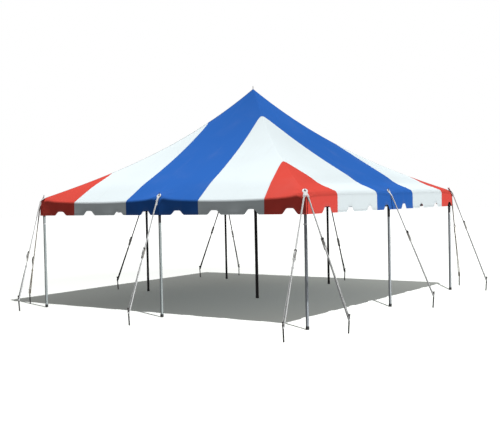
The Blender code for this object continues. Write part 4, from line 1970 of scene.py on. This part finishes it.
@dataclass
class Studio:
    """The floor, the lights and the camera."""

    eye: Vector = field(default_factory=lambda: Vector((9.721, -14.176, 2.114)))
    yaw: float = math.radians(-34.83)
    pitch: float = math.radians(-1.51)
    roll: float = math.radians(-1.19)
    lens: float = 832.9 * 36 / 500
    lamp_at: Colour = (9.97, -7.18, 18.75)
    lamp_power: float = 51.0
    sun_from: Colour = (-0.224, 0.12, 1.0)
    sun_strength: float = 4.84
    fill_from: Colour = (1.0, -0.02, -0.62)
    fill_strength: float = 3.77
    sky: float = 0.30
    below: float = 0.15
    floor_radius: float = 90.0
    shade_centre: Colour = (-1.4, 0.8, 0.0)
    shade: tuple[Colour, Colour] = ((0.020, 0.028, 0.018), (0.155, 0.168, 0.148))  # at the left and the right
    shade_middle: Colour = (1.0, 1.0, 0.9)
    shade_reach: float = 5.1
    glow_near: Pair = (10.0, 0.30)  # how far out the floor glows how strongly
    glow_far: Pair = (45.0, 0.42)  # and what is added further out
    paint: Colour = (0.80, 0.81, 0.79)
    flag_half: float = 3.045
    flag_height: float = 1.79

    def floor(self) -> Object:
        """A pale floor that is as bright as the backdrop beyond the tent's shade.

        Returns:
            The floor.
        """
        floor = Bench.disc("studio_floor", 96, self.floor_radius, -0.001)
        shader = Shader("studio_floor")
        point = shader.place()
        from_shade = {0: point, 1: self.shade_centre}
        centre = shader.node("ShaderNodeVectorMath", {"operation": "SUBTRACT"}, from_shade)
        away = shader.node("ShaderNodeVectorMath", {"operation": "LENGTH"}, {0: centre}, "Value")
        across, ahead, _ = shader.parts(point)
        shade = shader.mix((across + ahead * 0.3).fade(-5.0, 5.0), *self.shade)
        middle = shader.node("ShaderNodeVectorMath", {"operation": "LENGTH"}, {0: point}, "Value")
        shade = shader.mix(middle.fade(0.5, 4.5, 0.04, 0.0), shade, self.shade_middle)
        (near, some), (far, more) = self.glow_near, self.glow_far
        glow = away.fade(self.shade_reach, near, 0.0, some) + away.fade(near, far, 0.0, more)
        glow = shader.mix(glow, shade, (1.0, 1.0, 1.0))
        shader.feed(shader.surface.inputs["Emission Color"], glow)
        shader.surface.inputs["Emission Strength"].default_value = 1.0
        shader.finish(self.paint, 0.95, specular=0.0)
        floor.data.materials.append(shader.material)
        floor.visible_diffuse = False
        floor.visible_glossy = False
        return floor

    def flag(self) -> Object:
        """A card under the canopy, which keeps the low fill light off its lining; nothing else sees it.

        Returns:
            The card.
        """
        card = Bench.disc("studio_flag", 4, self.flag_half * math.sqrt(2), self.flag_height, math.pi / 4)
        for name in ("camera", "diffuse", "glossy", "transmission", "volume_scatter"):
            setattr(card, f"visible_{name}", False)
        return card

    def lamp(self, floor: Object, pieces: bpy.types.Collection) -> None:
        """A small lamp high over the right that lights the floor, as strong far away as near.

        Args:
            floor: The floor.
            pieces: The pieces that shade it.
        """
        light = bpy.data.lights.new("studio_lamp", "POINT")
        light.energy = self.lamp_power
        light.shadow_soft_size = 0.06
        light.use_nodes = True
        tree = light.node_tree
        falloff = tree.nodes.new("ShaderNodeLightFalloff")
        falloff.inputs["Strength"].default_value = 1.0
        tree.links.new(falloff.outputs["Constant"], tree.nodes["Emission"].inputs["Strength"])
        lamp = bpy.data.objects.new("studio_lamp", light)
        lamp.location = self.lamp_at
        bpy.context.scene.collection.objects.link(lamp)
        lamp.light_linking.receiver_collection = self.group("lit_floor", [floor])
        lamp.light_linking.blocker_collection = pieces

    def group(self, name: str, members: Sequence[Object]) -> bpy.types.Collection:
        """A collection that a light can be tied to.

        Args:
            name: The collection's name.
            members: The objects in it.

        Returns:
            The collection.
        """
        made = bpy.data.collections.new(name)
        for obj in members:
            made.objects.link(obj)
        return made

    def sun(self, name: str, source: Colour, strength: float, lit: bpy.types.Collection) -> Object:
        """A broad even light on the tent.

        Args:
            name: The light's name.
            source: The direction it comes from.
            strength: Its strength.
            lit: What it lights.

        Returns:
            The light.
        """
        light = bpy.data.lights.new(name, "SUN")
        light.energy = strength
        light.angle = math.radians(3)
        obj = bpy.data.objects.new(name, light)
        obj.rotation_mode = "QUATERNION"
        obj.rotation_quaternion = Vector(source).to_track_quat("Z", "Y")
        bpy.context.scene.collection.objects.link(obj)
        obj.light_linking.receiver_collection = lit
        return obj

    def backdrop(self) -> None:
        """A white backdrop, which lights the tent softly from above and little from below."""
        world = bpy.data.worlds.new("studio")
        world.use_nodes = True
        bpy.context.scene.world = world
        tree = world.node_tree
        background = tree.nodes["Background"]
        background.inputs["Color"].default_value = (1, 1, 1, 1)
        path = tree.nodes.new("ShaderNodeLightPath")
        point = tree.nodes.new("ShaderNodeTexCoord")
        split = tree.nodes.new("ShaderNodeSeparateXYZ")
        height = tree.nodes.new("ShaderNodeMapRange")
        for index, value in {1: -0.25, 2: 0.25, 3: self.below, 4: self.sky}.items():
            height.inputs[index].default_value = value
        seen = tree.nodes.new("ShaderNodeMix")
        seen.inputs[3].default_value = 1.0
        tree.links.new(point.outputs["Generated"], split.inputs[0])
        tree.links.new(split.outputs["Z"], height.inputs[0])
        tree.links.new(path.outputs["Is Camera Ray"], seen.inputs[0])
        tree.links.new(height.outputs[0], seen.inputs[2])
        tree.links.new(seen.outputs[0], background.inputs["Strength"])

    def camera(self) -> None:
        """The camera at the photograph's place and angle."""
        forward = Vector(
            (
                math.sin(self.yaw) * math.cos(self.pitch),
                math.cos(self.yaw) * math.cos(self.pitch),
                math.sin(self.pitch),
            )
        )
        right = Vector((math.cos(self.yaw), -math.sin(self.yaw), 0))
        above = right.cross(forward)
        turned_right = right * math.cos(self.roll) + above * math.sin(self.roll)
        turned_up = above * math.cos(self.roll) - right * math.sin(self.roll)
        data = bpy.data.cameras.new("camera")
        data.sensor_width = 36.0
        data.lens = self.lens
        data.clip_end = 400.0
        camera = bpy.data.objects.new("camera", data)
        turn = Matrix((turned_right, turned_up, -forward)).transposed().to_4x4()
        camera.matrix_world = Matrix.Translation(self.eye) @ turn
        bpy.context.scene.collection.objects.link(camera)
        bpy.context.scene.camera = camera

    def build(self, tent: Sequence[Object], faced: Sequence[Object]) -> None:
        """Sets up the whole studio.

        Args:
            tent: Every piece of the tent.
            faced: The pieces that the low fill light falls on.
        """
        pieces = self.group("lit_tent", tent)
        shading = [piece for piece in tent if piece.name.startswith(("canopy", "upright_", "centre_"))]
        self.lamp(self.floor(), self.group("shading_floor", shading))
        self.sun("studio_sun", self.sun_from, self.sun_strength, pieces)
        fill = self.sun("studio_fill", self.fill_from, self.fill_strength, self.group("lit_front", faced))
        fill.light_linking.blocker_collection = self.group("shading", [*tent, self.flag()])
        self.backdrop()
        self.camera()
        bpy.context.scene.view_settings.view_transform = "Standard"


def main() -> None:
    """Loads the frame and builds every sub-assembly around it."""
    logging.basicConfig(level=logging.INFO, format="%(name)s: %(message)s")
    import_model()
    finishes = Finishes()
    store = Store()
    canopy = Canopy()
    tent = [canopy.build(finishes)]
    poles = Poles(store, finishes).build()
    plates = Plates(store, finishes)
    tent += poles + plates.build()
    tent += Stakes(store, finishes).build()
    tent += Straps(store, finishes, plates).build()
    store.clear()
    canopy.settle([pole.name for pole in poles])
    faced = [piece for piece in tent if "back_" not in piece.name and piece.name != "centre_upright"]
    Studio().build(tent, faced)


if __name__ == "__main__":
    main()
